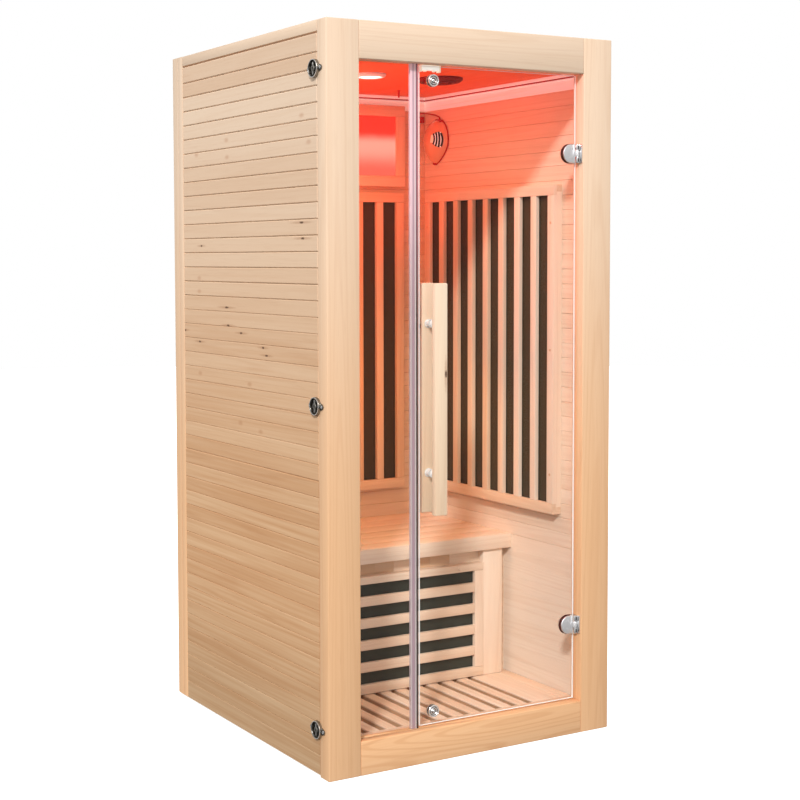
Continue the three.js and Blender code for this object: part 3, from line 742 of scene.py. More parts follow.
@dataclass(frozen=True)
class DiffuserFinish:
    """Lit panel: red at its top, pale pink in the middle and salmon below."""

    name: str = "red_diffuser"
    low: float = 1.570
    high: float = 1.756
    strength: float = 0.92
    top: Colour = (1.0, 0.022, 0.012)
    middle: Colour = (1.0, 0.40, 0.30)
    bottom: Colour = (1.0, 0.13, 0.09)

    def level(self, share: float) -> float:
        """Height at a share of the panel."""
        return self.low + share * (self.high - self.low)

    def make(self) -> bpy.types.Material:
        """Makes the material.

        Returns:
            The material.
        """
        graph = NodeGraph(self.name)
        height = graph.height()
        ripple = graph.math("MULTIPLY", graph.noise(graph.place, 30.0, 2.0), 0.008)
        height = graph.math("ADD", height, ripple)
        lower = graph.mix(graph.remap(height, self.level(0.10), self.level(0.50)), self.bottom, self.middle)
        colour = graph.mix(graph.remap(height, self.level(0.55), self.level(0.76)), lower, self.top)
        return graph.surface({"Base Color": (0.45, 0.08, 0.06), "Roughness": 0.4,
                              "Emission Color": colour, "Emission Strength": self.strength})


LEFT_FACE = -0.450
WALL_KNOTS = tuple(Knot((LEFT_FACE, along, height), length) for along, height, length in (
    (-0.324, 1.403, 0.012), (-0.329, 1.363, 0.010), (0.264, 1.349, 0.006), (0.105, 1.177, 0.012),
    (0.096, 1.127, 0.009), (0.017, 1.109, 0.008), (0.377, 1.104, 0.006), (0.279, 1.074, 0.008),
    (-0.111, 1.075, 0.007), (-0.130, 1.055, 0.008),
))
WALL_BLUSHES = tuple(Knot((LEFT_FACE, along, height), 0.008, 0.004) for along, height in (
    (-0.326, 1.672), (0.099, 1.639), (0.096, 1.592), (0.292, 1.610), (-0.362, 1.603), (0.280, 1.257),
    (0.281, 1.219), (0.279, 0.983), (-0.031, 0.972), (0.025, 0.862), (-0.094, 0.849),
))
HANDLE_KNOTS = (Knot((-0.104, -0.462, 1.013), 0.010, 0.004), Knot((-0.136, -0.391, 1.136), 0.008, 0.004))
BOARDS = TimberFinish("board_timber", Axis.X)
KNOTTY = TimberFinish("knotty_timber", Axis.Y, foot_tint=(0.86, 0.72, 0.55), streak=0.55, ring=0.16,
                      figure_run=0.30, calm_above=1.30, lively_below=0.80, painted_floor_shade=(0.80, 0.84, 0.86),
                      knots=WALL_KNOTS, blushes=WALL_BLUSHES)
INSIDE = TimberFinish("inside_timber", Axis.X, pale=(0.89, 0.71, 0.56), tan=(0.72, 0.47, 0.29),
                      foot_tint=(1.0, 1.0, 1.0))
LINING = TimberFinish("lining_timber", Axis.Y, pale=(0.90, 0.73, 0.58), tan=(0.74, 0.50, 0.33),
                      foot_tint=(1.0, 1.0, 1.0), streak=0.3, painted_floor_shade=(0.87, 0.92, 0.97),
                      ground_reach=0.90)
# Painted light: pale, glowing timber for the top lining boards and the ceiling trim, standing for the light that
# falls on them.
PAINTED_LIGHT_TIMBER = replace(LINING, name="painted_light_timber", pale=(0.96, 0.92, 0.88), tan=(0.90, 0.80, 0.70), glow=0.16)
# Painted light: the ceiling timber is drawn deep red, standing for the red light on it.
RED_LIT_CEILING = replace(INSIDE, name="ceiling_timber", pale=(0.87, 0.19, 0.06), tan=(0.74, 0.14, 0.04))
SHADED = replace(INSIDE, name="shaded_timber", pale=(0.44, 0.26, 0.14), tan=(0.34, 0.19, 0.10))
# Painted shade: a darker timber for the lower parts of the floor slats, standing for the shade in the gaps between
# them.
GAP_SHADE_TIMBER = replace(INSIDE, name="gap_shade_timber", pale=(0.66, 0.41, 0.24), tan=(0.54, 0.32, 0.18))
PLANED = TimberFinish("planed_timber", Axis.Z, pale=(0.90, 0.70, 0.53), tan=(0.76, 0.51, 0.32), streak=0.3,
                      ring=0.12)
FIGURED = replace(PLANED, name="figured_timber", streak=0.5, ring=0.30, figure_run=0.8)
HANDLE = replace(PLANED, name="handle_timber", pale=(0.93, 0.77, 0.60), foot_tint=(1.0, 0.9, 0.8),
                 knots=HANDLE_KNOTS)
CHROME = MetalFinish("bright_chrome", (0.80, 0.80, 0.81), (0.92, 0.92, 0.92), 0.16, 0.3)
SATIN_CHROME = MetalFinish("satin_chrome", (0.86, 0.86, 0.88), (0.95, 0.95, 0.95), 0.42, 0.3)
DARK_NICKEL = MetalFinish("dark_nickel", (0.060, 0.052, 0.043), (0.50, 0.48, 0.44), 0.32, 0.6)
WHITE_PLASTIC = MouldedFinish("white_moulding", (0.86, 0.85, 0.82), 0.30, 0.06)
# Painted shade and red light: the vent is drawn dark red, standing for the shade and red light on its downward face.
SHADED_RED_VENT = MouldedFinish("red_brown_moulding", (0.20, 0.004, 0.002), 0.65, 0.2)
BLACK_PLASTIC = MouldedFinish("black_moulding", (0.022, 0.020, 0.020), 0.40, 0.2)
GASKET = MouldedFinish("gasket_rubber", (0.10, 0.020, 0.014), 0.60, 0.2)
# Dark red for rubber and small fittings; also painted shade in the ceiling trim's recess and along the speaker's rim.
DARK_RED_AND_SHADE = MouldedFinish("dark_red_rubber", (0.46, 0.008, 0.006), 0.60, 0.2)
# Its glow is painted light, standing for light on the catch's side plates under the top rail.
CREAM_PLASTIC = MouldedFinish("cream_moulding", (0.90, 0.78, 0.64), 0.35, 0.06, glow=0.45)
# Painted light: the catch body glows, standing for light it would not get in the top rail's shade.
WHITE_PAINTED_LIGHT = MouldedFinish("lit_white_moulding", (0.95, 0.91, 0.85), 0.30, 0.06, coat=0.3, glow=0.55)
# Painted highlight: the glass edges are near white and glow a little, standing for the bright line along a lit edge.
GLASS_EDGE = MouldedFinish("polished_glass_edge", (0.90, 0.90, 0.88), 0.12, 0.04, coat=0.5, glow=0.06)


@dataclass
class Tones:
    """Seeded draws of tone and stretch for the boards of one piece."""

    seed: int
    middle: float = 0.35
    spread: float = 0.22
    draws: random.Random = field(init=False)

    def __post_init__(self) -> None:
        """Starts the draws."""
        self.draws = random.Random(self.seed)

    def board(self, middle: float | None = None) -> dict[str, float]:
        """Tone and stretch of the next board."""
        centre = self.middle if middle is None else middle
        tone = centre + self.draws.uniform(-self.spread, self.spread)
        return {"tone": tone, "shift": self.draws.uniform(0.0, 10.0)}


# Sub-assemblies


@dataclass(frozen=True)
class Course:
    """Look of one board in a wall: its tone, the chamfer of its edges, the gap to the next board, and whether it
    takes the painted light of a top board.

    A lit board has a chamfer along its upper edge alone, which catches the light.
    """

    tone: float = 0.36
    chamfer: float = 0.0021
    gap: float = 0.0005
    painted_light: bool = False
    lit: bool = False


def even_course(height: float) -> Course:
    """Course of a wall that looks the same at any height."""
    return Course()


def lining_course(height: float) -> Course:
    """Course of a lining, with finer edges low down and a top board drawn pale and glowing as painted light.

    Args:
        height: Height of the board's middle.

    Returns:
        Its look.
    """
    if height > 1.78:
        # Painted light: the top board is drawn pale and glowing.
        return Course(0.0, 0.0012, 0.0004, True)
    if height > 0.50:
        return Course(0.30, 0.0012, 0.0004)
    return Course(0.10, 0.0004, 0.0001)


def back_course(height: float) -> Course:
    """Course of the back lining, drawn tanner than the sides as painted light for the orange light on the back wall.
    """
    return replace(lining_course(height), tone=0.65)


def left_wall_course(height: float) -> Course:
    """Course of the left wall: tan on top, cream below it, then beige, with softer joints in the middle.

    Args:
        height: Height of the board's middle.

    Returns:
        Its look.
    """
    if height > 1.78:
        return Course(0.46, 0.0024, 0.0011)
    if height > 1.65:
        return Course(0.16, 0.0024, 0.0011)
    if height > 1.20:
        return Course(0.38, 0.0022, 0.0008)
    if height > 0.74:
        return Course(0.44, 0.0014, 0.0004)
    return Course(0.57, 0.0030, 0.0004, lit=True)


@dataclass
class BoardWall:
    """A wall of level boards laid from its top, with plain upright strips at its ends."""

    node: str
    across: Axis
    shown: int
    seed: int
    pitch: float = 0.0410
    top_course: float = 0.006
    strips: tuple[float, float] = (0.0, 0.0)
    strip_joint: float = 0.002
    timber: TimberFinish = BOARDS
    course: Callable[[float], Course] = even_course
    spread: float = 0.12

    def corner(self, run: float, depth: float, height: float) -> tuple[float, float, float]:
        """Point from a place along the wall, a depth and a height."""
        return (depth, run, height) if self.across is Axis.X else (run, depth, height)

    def joints(self, top: float, foot: float) -> list[float]:
        """Heights of all joints from the top edge to the foot.

        Args:
            top: Upper edge of the boards.
            foot: Lower edge of the boards.

        Returns:
            The heights, both edges among them.
        """
        heights = [top]
        line = top - self.top_course
        while line > foot + self.top_course / 2:
            heights.append(line)
            line -= self.pitch
        return [*heights, foot]

    def build(self) -> None:
        """Makes the boards and strips and dresses them in timber."""
        low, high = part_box(self.node)
        run = Axis.Y if self.across is Axis.X else Axis.X
        near, far = low[self.across.value], high[self.across.value]
        face = far if self.shown > 0 else near
        start, end = low[run.value] + self.strips[0], high[run.value] - self.strips[1]
        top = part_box("roof_panel")[0].z - SEAM if any(self.strips) else high.z
        draws = Tones(self.seed, spread=self.spread)
        solid = Solid()
        joints = self.joints(top, low.z)
        for upper, lower in zip(joints, joints[1:]):
            look = self.course((upper + lower) / 2)
            crest = upper - look.gap / 2
            rim = edges_on(Axis.Z, crest, run) if look.lit else edges_on(self.across, face)
            shape = block(self.corner(start, near, lower + look.gap / 2), self.corner(end, far, crest),
                          look.chamfer, 1, rim)
            # Painted light: a top board takes finish 2, the pale glowing timber.
            solid.add(shape, 2 if look.painted_light else 0, **draws.board(look.tone))
        for outer, inner in ((low[run.value], start), (high[run.value], end)):
            if abs(outer - inner) > TOUCH:
                step = math.copysign(self.strip_joint, outer - inner)
                shape = block(self.corner(outer, near, low.z), self.corner(inner + step, far, high.z),
                              0.0015, 2, edges_on(self.across, face, Axis.Z))
                solid.add(shape, 1, **draws.board(0.30))
        finishes = [replace(self.timber, grain=run).make(), replace(PLANED, grain=Axis.Z).make(),
                    replace(PAINTED_LIGHT_TIMBER, grain=run).make()]
        solid.piece(f"{self.node}_boards", finishes, Slot.BOARDS, stands_for=[self.node])


@dataclass
class Roof:
    """Roof slab between the rear strips, with a plain border, boards between and a flange at the inlet."""

    border: float = 0.045
    boards: int = 18
    ease: float = 0.0015
    step_inset: float = 0.008
    step_rise: float = 0.0037
    hole: float = 0.016
    flange: float = 0.030
    side_strip: float = 0.029
    side_strip_depth: float = 0.026
    back_strip: float = 0.034

    def build(self) -> None:
        """Makes the roof in place of its solid."""
        low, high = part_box("roof_panel")
        under = low.z + self.step_rise
        unit_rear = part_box("power_unit")[1].y
        inlet = Vector((0.0, unit_rear - 0.040, high.z))
        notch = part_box("left_wall_panel")[1].y - self.side_strip - SEAM
        between = high.x - self.back_strip - SEAM
        rear = high.y - self.border
        draws = Tones(31)
        solid = Solid()
        for side in Side:
            sign = side.value
            outer, inner = sign * high.x, sign * (high.x - self.border)
            solid.add(block((sign * self.hole, low.y, low.z), (sign * between, high.y - self.step_inset, under)))
            solid.add(block((sign * between, low.y, low.z), (outer - sign * self.step_inset, notch, under)))
            solid.add(block((outer, low.y, under), (inner, notch, high.z), self.ease), 1, **draws.board())
            behind = outer - sign * (self.side_strip_depth + SEAM)
            solid.add(block((behind, notch, under), (inner, rear - JOINT_LINE, high.z)), 1, **draws.board())
        solid.add(block((-between, rear, under), (between, high.y, high.z), self.ease), 0, **draws.board())
        inner = high.x - self.border - JOINT_LINE
        pitch = 2 * inner / self.boards
        for board in range(self.boards):
            start = -inner + board * pitch
            end = start + pitch - JOINT_LINE
            crosses = start < inlet.x + self.hole and end > inlet.x - self.hole
            cuts = [(low.y, inlet.y - self.hole), (inlet.y + self.hole, rear - JOINT_LINE)]
            for near, far in cuts if crosses else [(low.y, rear - JOINT_LINE)]:
                solid.add(block((start, near, under), (end, far, high.z), self.ease), 1, **draws.board())
        finishes = [replace(BOARDS, grain=Axis.X).make(), replace(BOARDS, grain=Axis.Y).make()]
        solid.piece("roof_boards", finishes, Slot.BOARDS, stands_for=["roof_panel"])
        ring = turned([(0.0126, 0.0), (self.flange, 0.0), (self.flange, 0.0015), (self.flange - 0.002, 0.003),
                       (0.0145, 0.003), (0.0126, 0.0018), (0.0126, 0.0)], inlet)
        Solid().add(ring).piece("inlet_flange", [BLACK_PLASTIC.make()], Slot.DARK)


@dataclass
class CeilingEdge:
    """Trim strips round the ceiling, drawn pale and glowing as painted light, with a recess below their middle drawn
    dark red as painted shade.
    """

    depth: float = 0.012
    ease: float = 0.0015
    recess: float = 0.0035
    recess_depth: float = 0.007
    lip: float = 0.0030
    lip_depth: float = 0.005

    def strips(self, solid: Solid, depth: float, foot: float, top: float, finishes: tuple[int, int]) -> None:
        """Adds the four strips of one level.

        Args:
            solid: Takes the strips.
            depth: How far they stand out from the walls.
            foot: Their lower edge.
            top: Their upper edge.
            finishes: Finish numbers of the strips along X and along Y.
        """
        low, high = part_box("ceiling_trim")
        draws = Tones(47, 0.1)
        for side in (low.y, high.y - depth):
            solid.add(block((low.x, side, foot), (high.x, side + depth, top), self.ease), finishes[0],
                      **draws.board())
        for side in (low.x, high.x - depth):
            solid.add(block((side, low.y + depth, foot), (side + depth, high.y - depth, top), self.ease),
                      finishes[1], **draws.board())

    def build(self) -> None:
        """Makes the strips in place of their solid."""
        low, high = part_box("ceiling_trim")
        solid = Solid()
        groove = low.z + self.lip
        # Painted light: the upper strips and the lower lip take the pale, glowing timber.
        self.strips(solid, self.depth, groove + self.recess, high.z, (0, 1))
        # Painted shade: the recessed strips between them are dark red, standing for the shade in the recess.
        self.strips(solid, self.recess_depth, groove, groove + self.recess, (2, 2))
        self.strips(solid, self.lip_depth, low.z, groove, (0, 1))
        finishes = [replace(PAINTED_LIGHT_TIMBER, grain=Axis.X).make(), replace(PAINTED_LIGHT_TIMBER, grain=Axis.Y).make(),
                    DARK_RED_AND_SHADE.make()]
        solid.piece("ceiling_trim_strips", finishes, Slot.FRAME, stands_for=["ceiling_trim"])


@dataclass
class FrontFrame:
    """Two stiles and two rails of planed timber with soft edges."""

    ease: float = 0.0025

    def build(self) -> None:
        """Makes the four members in place of their solids."""
        members = [("front_left_stile", PLANED, Axis.Z, 0.30), ("front_right_stile", PLANED, Axis.Z, 0.36),
                   ("front_top_rail", PLANED, Axis.X, 0.25), ("front_bottom_rail", FIGURED, Axis.X, 0.40)]
        for index, (node, timber, grain, tone) in enumerate(members):
            solid = Solid().add(eased_copy(node, self.ease), 0, tone, 1.7 * index)
            solid.piece(f"{node}_timber", [replace(timber, grain=grain).make()], Slot.FRAME, stands_for=[node])


@dataclass
class GlassSheet:
    """A toughened sheet with ground and polished edges."""

    node: str
    body: str
    ease: float = 0.0008

    def build(self) -> None:
        """Makes the sheet in place of its solid."""
        shape = block(*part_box(self.node), self.ease, 1)
        solid = Solid().add(shape)
        solid.mesh.faces.ensure_lookup_table()
        # The edge faces take the glass edge finish, whose glow is a painted highlight.
        for face in solid.mesh.faces:
            face.material_index = 0 if abs(face.normal.y) > 0.9 else 1
        solid.piece(f"{self.node}_sheet", [CLEAR_GLASS, GLASS_EDGE.make()], Slot.GLASS, self.body,
                    [self.node])


@dataclass
class SideLight:
    """Fixed sheet at the left of the door, with its milky seal strip and dark lip."""

    ease: float = 0.001
    proud: float = 0.0003
    groove: tuple[float, float] = (0.0160, 0.0135)
    lip: tuple[float, float] = (0.0066, 0.0014)
    foot: tuple[float, float] = (0.0082, 0.0068)

    def build(self) -> None:
        """Makes the sheet and the strip."""
        GlassSheet("fixed_glass", CABIN).build()
        low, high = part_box("fixed_glass_seal")
        solid = Solid().add(eased_copy("fixed_glass_seal", self.ease))
        for finish, (start, end) in enumerate((self.groove, self.lip, self.foot), start=1):
            solid.add(block((high.x - start, low.y - self.proud, low.z),
                            (high.x - end, high.y + self.proud, high.z)), finish)
        groove = MouldedFinish("seal_groove", (0.44, 0.27, 0.33), 0.4)
        # The lip is dark; its reddish colour higher up is a painted reflection of the red light.
        lip = SealFinish("dark_seal_lip", (0.34, 0.12, 0.16), (0.045, 0.028, 0.022), 0.0, (1.0, 1.0))
        foot = MouldedFinish("seal_foot", (0.86, 0.78, 0.76), 0.4)
        solid.piece("seal_strip", [SealFinish().make(), groove.make(), lip.make(), foot.make()], Slot.SEAL,
                    stands_for=["fixed_glass_seal"])


@dataclass
class DoorHandle:
    """Wooden bars on both faces of the door, on sleeved through bolts."""

    ease: float = 0.003
    sleeve: float = 0.009
    washer: float = 0.0115
    bolt: float = 0.004

    def build(self) -> None:
        """Makes both bars and both bolts in place of their solids."""
        timber = [replace(HANDLE, grain=Axis.Z).make()]
        for index, node in enumerate(("door_handle_outer", "door_handle_inner")):
            solid = Solid().add(block(*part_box(node), self.ease, 2), 0, 0.05, 4.4 + index)
            solid.piece(f"{node}_bar", timber, Slot.FRAME, DOOR, [node])
        outer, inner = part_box("door_handle_outer"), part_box("door_handle_inner")
        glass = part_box("door_glass")
        gaps = [(outer[1].y, glass[0].y), (glass[1].y, inner[0].y)]
        for level in ("upper", "lower"):
            low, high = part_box(f"handle_bolt_{level}")
            middle = (low + high) / 2
            solid = Solid().add(rod((middle.x, low.y, middle.z), (middle.x, high.y, middle.z), self.bolt), 1)
            for near, far in gaps:
                length = far - near - 2 * SEAM
                profile = [(self.bolt, 0.0), (self.washer, 0.0), (self.washer, 0.0012), (self.sleeve, 0.0018),
                           (self.sleeve * 0.94, length / 2), (self.sleeve, length - 0.0018),
                           (self.washer, length - 0.0012), (self.washer, length), (self.bolt, length)]
                solid.add(turned(profile, (middle.x, near + SEAM, middle.z), (0, 1, 0)))
            solid.piece(f"handle_sleeves_{level}", [WHITE_PLASTIC.make(), CHROME.make()], Slot.CHROME,
                        DOOR, [f"handle_bolt_{level}"])


@dataclass
class DoorHinges:
    """Glass door hinges: half-round clamp plates with gaskets, barrel, pin and jamb plate."""

    length: float = 0.050
    reach: float = 0.038
    from_pivot: float = 0.006
    plate: float = 0.005
    knuckle: float = 0.0045
    knuckle_length: float = 0.017
    knuckle_gap: float = 0.0005
    pin: float = 0.0022
    rim: float = 0.0014
    arc_steps: int = 20

    def outline(self, pivot: Vector, depth: float, grow: float) -> list[Vector]:
        """Half-round plate outline at one depth.

        Args:
            pivot: Middle of the hinge on its axis.
            depth: Place along Y.
            grow: How far it stands out beyond the plate.

        Returns:
            Its corners.
        """
        radius = self.length / 2
        centre = pivot.x - self.from_pivot - self.reach + radius
        right = pivot.x - self.from_pivot
        points = [Vector((right, depth, pivot.z - radius - grow)), Vector((right, depth, pivot.z + radius + grow))]
        for step in range(self.arc_steps + 1):
            angle = math.pi / 2 + math.pi * step / self.arc_steps
            reach = radius + grow
            points.append(Vector((centre + reach * math.cos(angle), depth, pivot.z + reach * math.sin(angle))))
        return points

    def clamp(self, level: str, pivot: Vector) -> None:
        """Makes the half that is clamped to the glass.

        Args:
            level: Upper or lower.
            pivot: Middle of the hinge on its axis.
        """
        glass_low, glass_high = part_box("door_glass")
        solid = Solid()
        for face, out in ((glass_low.y, -1.0), (glass_high.y, 1.0)):
            seat = face + out * SEAM
            solid.add(prism(self.outline(pivot, seat, 0.0), (0.0, out * self.plate, 0.0), 0.0016, 3))
            solid.add(prism(self.outline(pivot, face, self.rim), (0.0, out * SEAM * 0.9, 0.0)), 1)
            for height in (-0.012, 0.012):
                place = Vector((pivot.x - 0.022, seat + out * (self.plate - 0.0002), pivot.z + height))
                solid.add(turned([(0.0, 0.0), (0.0042, 0.0), (0.0040, 0.0007), (0.0022, 0.0008), (0.0020, 0.0002),
                                  (0.0, 0.0002)], place, (0.0, out, 0.0), 20))
        right = pivot.x - self.from_pivot
        tall = self.length / 2
        front = glass_low.y - SEAM - self.plate
        solid.add(block((right - 0.0045, front - 0.0012, pivot.z - tall), (right, front + 0.001, pivot.z + tall),
                        0.0005), 2)
        half = self.knuckle_length / 2
        solid.add(rod(pivot - Vector((0, 0, half)), pivot + Vector((0, 0, half)), self.knuckle, 0.0006), 2)
        arm_far = glass_low.y - SEAM
        solid.add(block((pivot.x - self.from_pivot - self.plate, pivot.y, pivot.z - half),
                        (pivot.x - 0.002, arm_far, pivot.z + half), 0.0006))
        bright = MetalFinish("bright_flange", (0.97, 0.97, 0.98), (1.0, 1.0, 1.0), 0.45, 0.2)
        solid.piece(f"{level}_hinge_clamp_plates", [SATIN_CHROME.make(), GASKET.make(), bright.make()],
                    Slot.CHROME, DOOR, [f"{level}_hinge_clamp"])

    def bracket(self, level: str, pivot: Vector) -> None:
        """Makes the half that is screwed to the jamb.

        Args:
            level: Upper or lower.
            pivot: Middle of the hinge on its axis.
        """
        low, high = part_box(f"{level}_hinge_bracket")
        plate = high.x - 0.003
        half = self.length / 2
        inner = self.knuckle_length / 2 + self.knuckle_gap
        solid = Solid().add(block((plate, low.y, low.z), (high.x, high.y, high.z), 0.0008))
        # Painted shade: black blocks in front of the gaps between the knuckles stand for the shade in those gaps.
        slot = self.knuckle - 0.0008
        for start, end in ((-half, -inner), (inner, half)):
            middle = (start + end) / 2
            solid.add(block((pivot.x - 0.0016, pivot.y - slot - 0.0014, pivot.z + middle - 0.0045),
                            (pivot.x + 0.0016, pivot.y - slot, pivot.z + middle + 0.0045)), 1)
            solid.add(rod(pivot + Vector((0, 0, start)), pivot + Vector((0, 0, end)), self.knuckle, 0.0006))
            solid.add(block((pivot.x + 0.001, pivot.y - 0.0032, pivot.z + start),
                            (plate + 0.001, pivot.y + 0.0032, pivot.z + end), 0.0006))
        solid.add(rod(pivot - Vector((0, 0, half)), pivot + Vector((0, 0, half)), self.pin))
        for height in (-0.015, 0.015):
            place = (plate + 0.0002, high.y - 0.010, pivot.z + height)
            solid.add(turned([(0.0, 0.0), (0.0040, 0.0), (0.0036, 0.0008), (0.0, 0.0011)], place, (-1, 0, 0), 20))
            solid.add(block((place[0] - 0.0012, place[1] - 0.0005, place[2] - 0.0030),
                            (place[0] - 0.0006, place[1] + 0.0005, place[2] + 0.0030)), 1)
        solid.piece(f"{level}_hinge_bracket_plate", [CHROME.make(), BLACK_PLASTIC.make()], Slot.CHROME,
                    stands_for=[f"{level}_hinge_bracket"])

    def build(self) -> None:
        """Makes both hinges round the door's own axis."""
        swing = next(joint for joint in frame["joints"] if joint["name"] == "door_swing")
        for level in ("upper", "lower"):
            low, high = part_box(f"{level}_hinge_bracket")
            pivot = Vector((swing["pos_m"][0], swing["pos_m"][1], (low.z + high.z) / 2))
            self.clamp(level, pivot)
            self.bracket(level, pivot)


@dataclass
class DoorCatch:
    """Roller catch under the top rail and the ring strikes on the glass."""

    disc: float = 0.0150
    disc_height: float = 0.0012
    rings: tuple[tuple[float, float, float], ...] = ((0.0122, 0.0160, 0.0036), (0.0070, 0.0096, 0.0032))
    stud: float = 0.0044
    stud_height: float = 0.0034

    def strike(self, solid: Solid, seat: Point, out: float) -> None:
        """Adds the rings of one strike on one face of the glass.

        Args:
            solid: Takes the shapes.
            seat: Its middle on the glass.
            out: Which way it faces along Y.
        """
        aim = (0.0, out, 0.0)
        solid.add(turned([(0.0, 0.0), (self.disc, 0.0), (self.disc, self.disc_height), (0.0, self.disc_height)],
                         seat, aim), 1)
        for inner, outer, height in self.rings:
            solid.add(turned([(inner, 0.0004), (outer, 0.0004), (outer, height - 0.0008), (outer - 0.0008, height),
                              (inner + 0.0008, height), (inner, height - 0.0008), (inner, 0.0004)], seat, aim))
        solid.add(turned([(0.0, 0.0004), (self.stud, 0.0004), (self.stud, self.stud_height - 0.001),
                          (self.stud - 0.0012, self.stud_height), (0.0, self.stud_height)], seat, aim))

    def build(self) -> None:
        """Makes the catch and both strikes in place of their solids."""
        low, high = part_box("door_catch")
        body_low = Vector((low.x + 0.005, low.y, low.z + 0.004))
        solid = Solid().add(block(body_low, (high.x - 0.005, high.y, high.z), 0.0015))
        for side in (low.x, high.x - 0.005):
            solid.add(block((side, low.y, low.z), (side + 0.005, high.y, high.z), 0.001), 1)
        middle = (low + high) / 2
        for step in (-0.014, 0.014):
            solid.add(rod((middle.x + step, low.y + 0.002, body_low.z), (middle.x + step, high.y - 0.002, body_low.z),
                          0.0034, 0.0006), 1)
        # Painted light: the body and side plates glow, standing for light under the top rail.
        solid.piece("door_catch_rollers", [WHITE_PAINTED_LIGHT.make(), CREAM_PLASTIC.make()], Slot.WHITE,
                    stands_for=["door_catch"])
        glass_low, glass_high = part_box("door_glass")
        bright = MetalFinish("polished_rings", (0.98, 0.97, 0.96), (1.0, 1.0, 1.0), 0.26, 0.2)
        clear = MouldedFinish("clear_washer", (0.16, 0.12, 0.10), 0.30, see_through=0.65)
        for end in ("top", "bottom"):
            node = f"door_strike_{end}"
            low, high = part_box(node)
            middle = (low + high) / 2
            solid = Solid()
            for face, out in ((glass_low.y - SEAM, -1.0), (glass_high.y + SEAM, 1.0)):
                self.strike(solid, (middle.x, face, middle.z), out)
            solid.piece(f"{node}_rings", [bright.make(), clear.make()], Slot.CHROME, DOOR, [node])


@dataclass
class Clasps:
    """Panel clasps on both sides: a riveted cup with a winged thumb-turn in it."""

    radius: float = 0.023
    rim: float = 0.003
    plate: float = 0.0025
    depth: float = 0.008
    ear_reach: float = 0.029
    ear: float = 0.007
    hub: float = 0.008

    def cup(self) -> Solid:
        """Shapes of a cup that lies on its back.

        Returns:
            The solid.
        """
        inner = self.radius - self.rim
        solid = Solid().add(turned([
            (0.0, 0.0), (self.radius, 0.0), (self.radius, self.depth - 0.0015), (self.radius - 0.0012, self.depth),
            (inner + 0.0008, self.depth), (inner, self.depth - 0.001), (inner - 0.001, self.plate + 0.0006),
            (inner - 0.004, self.plate), (0.0125, self.plate), (0.0115, self.plate + 0.0005),
            (0.0105, self.plate), (0.0, self.plate),
        ], sides=56))
        bead, rise = self.radius - 0.0006, self.depth + 0.0005
        solid.add(turned([(bead - 0.0014, self.depth - 0.0003), (bead, self.depth - 0.0003), (bead, rise),
                          (bead - 0.0014, rise), (bead - 0.0014, self.depth - 0.0003)], sides=56), 1)
        for side in Side:
            reach = side.value * self.ear_reach
            outline = [(side.value * 0.019, -0.010, 0.0), (side.value * 0.019, 0.010, 0.0)]
            for step in range(13):
                angle = math.pi / 2 - math.pi * step / 12
                outline.append((reach + side.value * self.ear * math.cos(angle), self.ear * math.sin(angle), 0.0))
            solid.add(prism(outline, (0.0, 0.0, self.plate), 0.0006))
            solid.add(turned([(0.0014, 0.0), (0.0040, 0.0), (0.0040, 0.0007), (0.0032, 0.0014), (0.0020, 0.0014),
                              (0.0014, 0.0006), (0.0014, 0.0)], (reach, 0.0, self.plate), sides=24), 1)
            solid.add(rod((reach, 0.0, self.plate - 0.0004), (reach, 0.0, self.plate + 0.0004), 0.0014), 2)
        return solid

    def thumb_turn(self) -> Solid:
        """Shapes of a thumb-turn that lies on its back.

        Returns:
            The solid.
        """
        solid = Solid().add(turned([
            (0.0, 0.0), (self.hub, 0.0), (self.hub, 0.0034), (self.hub - 0.0012, 0.0046), (0.0030, 0.0050),
            (0.0026, 0.0042), (0.0, 0.0042),
        ], sides=36))
        for side in Side:
            outline = [(-0.0040, 0.0, 0.0), (0.0040, 0.0, 0.0)]
            for step in range(11):
                angle = math.pi * step / 10
                height = side.value * (0.0130 + 0.0040 * math.sin(angle))
                outline.append((0.0040 * math.cos(angle), height, 0.0))
            solid.add(prism(outline, (0.0, 0.0, 0.0030), 0.0007))
        solid.add(block((-0.0009, -0.0155, 0.0028), (0.0009, 0.0155, 0.0042), 0.0004), 1)
        return solid

    def build(self) -> None:
        """Makes six cups and six turns in place of their solids."""
        finishes = [DARK_NICKEL.make(), CHROME.make(), BLACK_PLASTIC.make()]
        for side in Side:
            out = Vector((side.value, 0.0, 0.0))
            across = Axis.Z.unit().cross(out)
            basis = Matrix((across, Axis.Z.unit(), out)).transposed().to_4x4()
            for level in ("upper", "middle", "lower"):
                for kind, shape, body in (("clasp", self.cup(), CABIN), ("clasp_turn", self.thumb_turn(), None)):
                    node = f"{side.word()}_{kind}_{level}"
                    low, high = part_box(node)
                    seat = (low + high) / 2
                    seat.x = high.x if side is Side.LEFT else low.x
                    shape.turn_to(Matrix.Translation(seat) @ basis)
                    shape.piece(f"{node}_metal", finishes, Slot.NICKEL, body or node, [node])


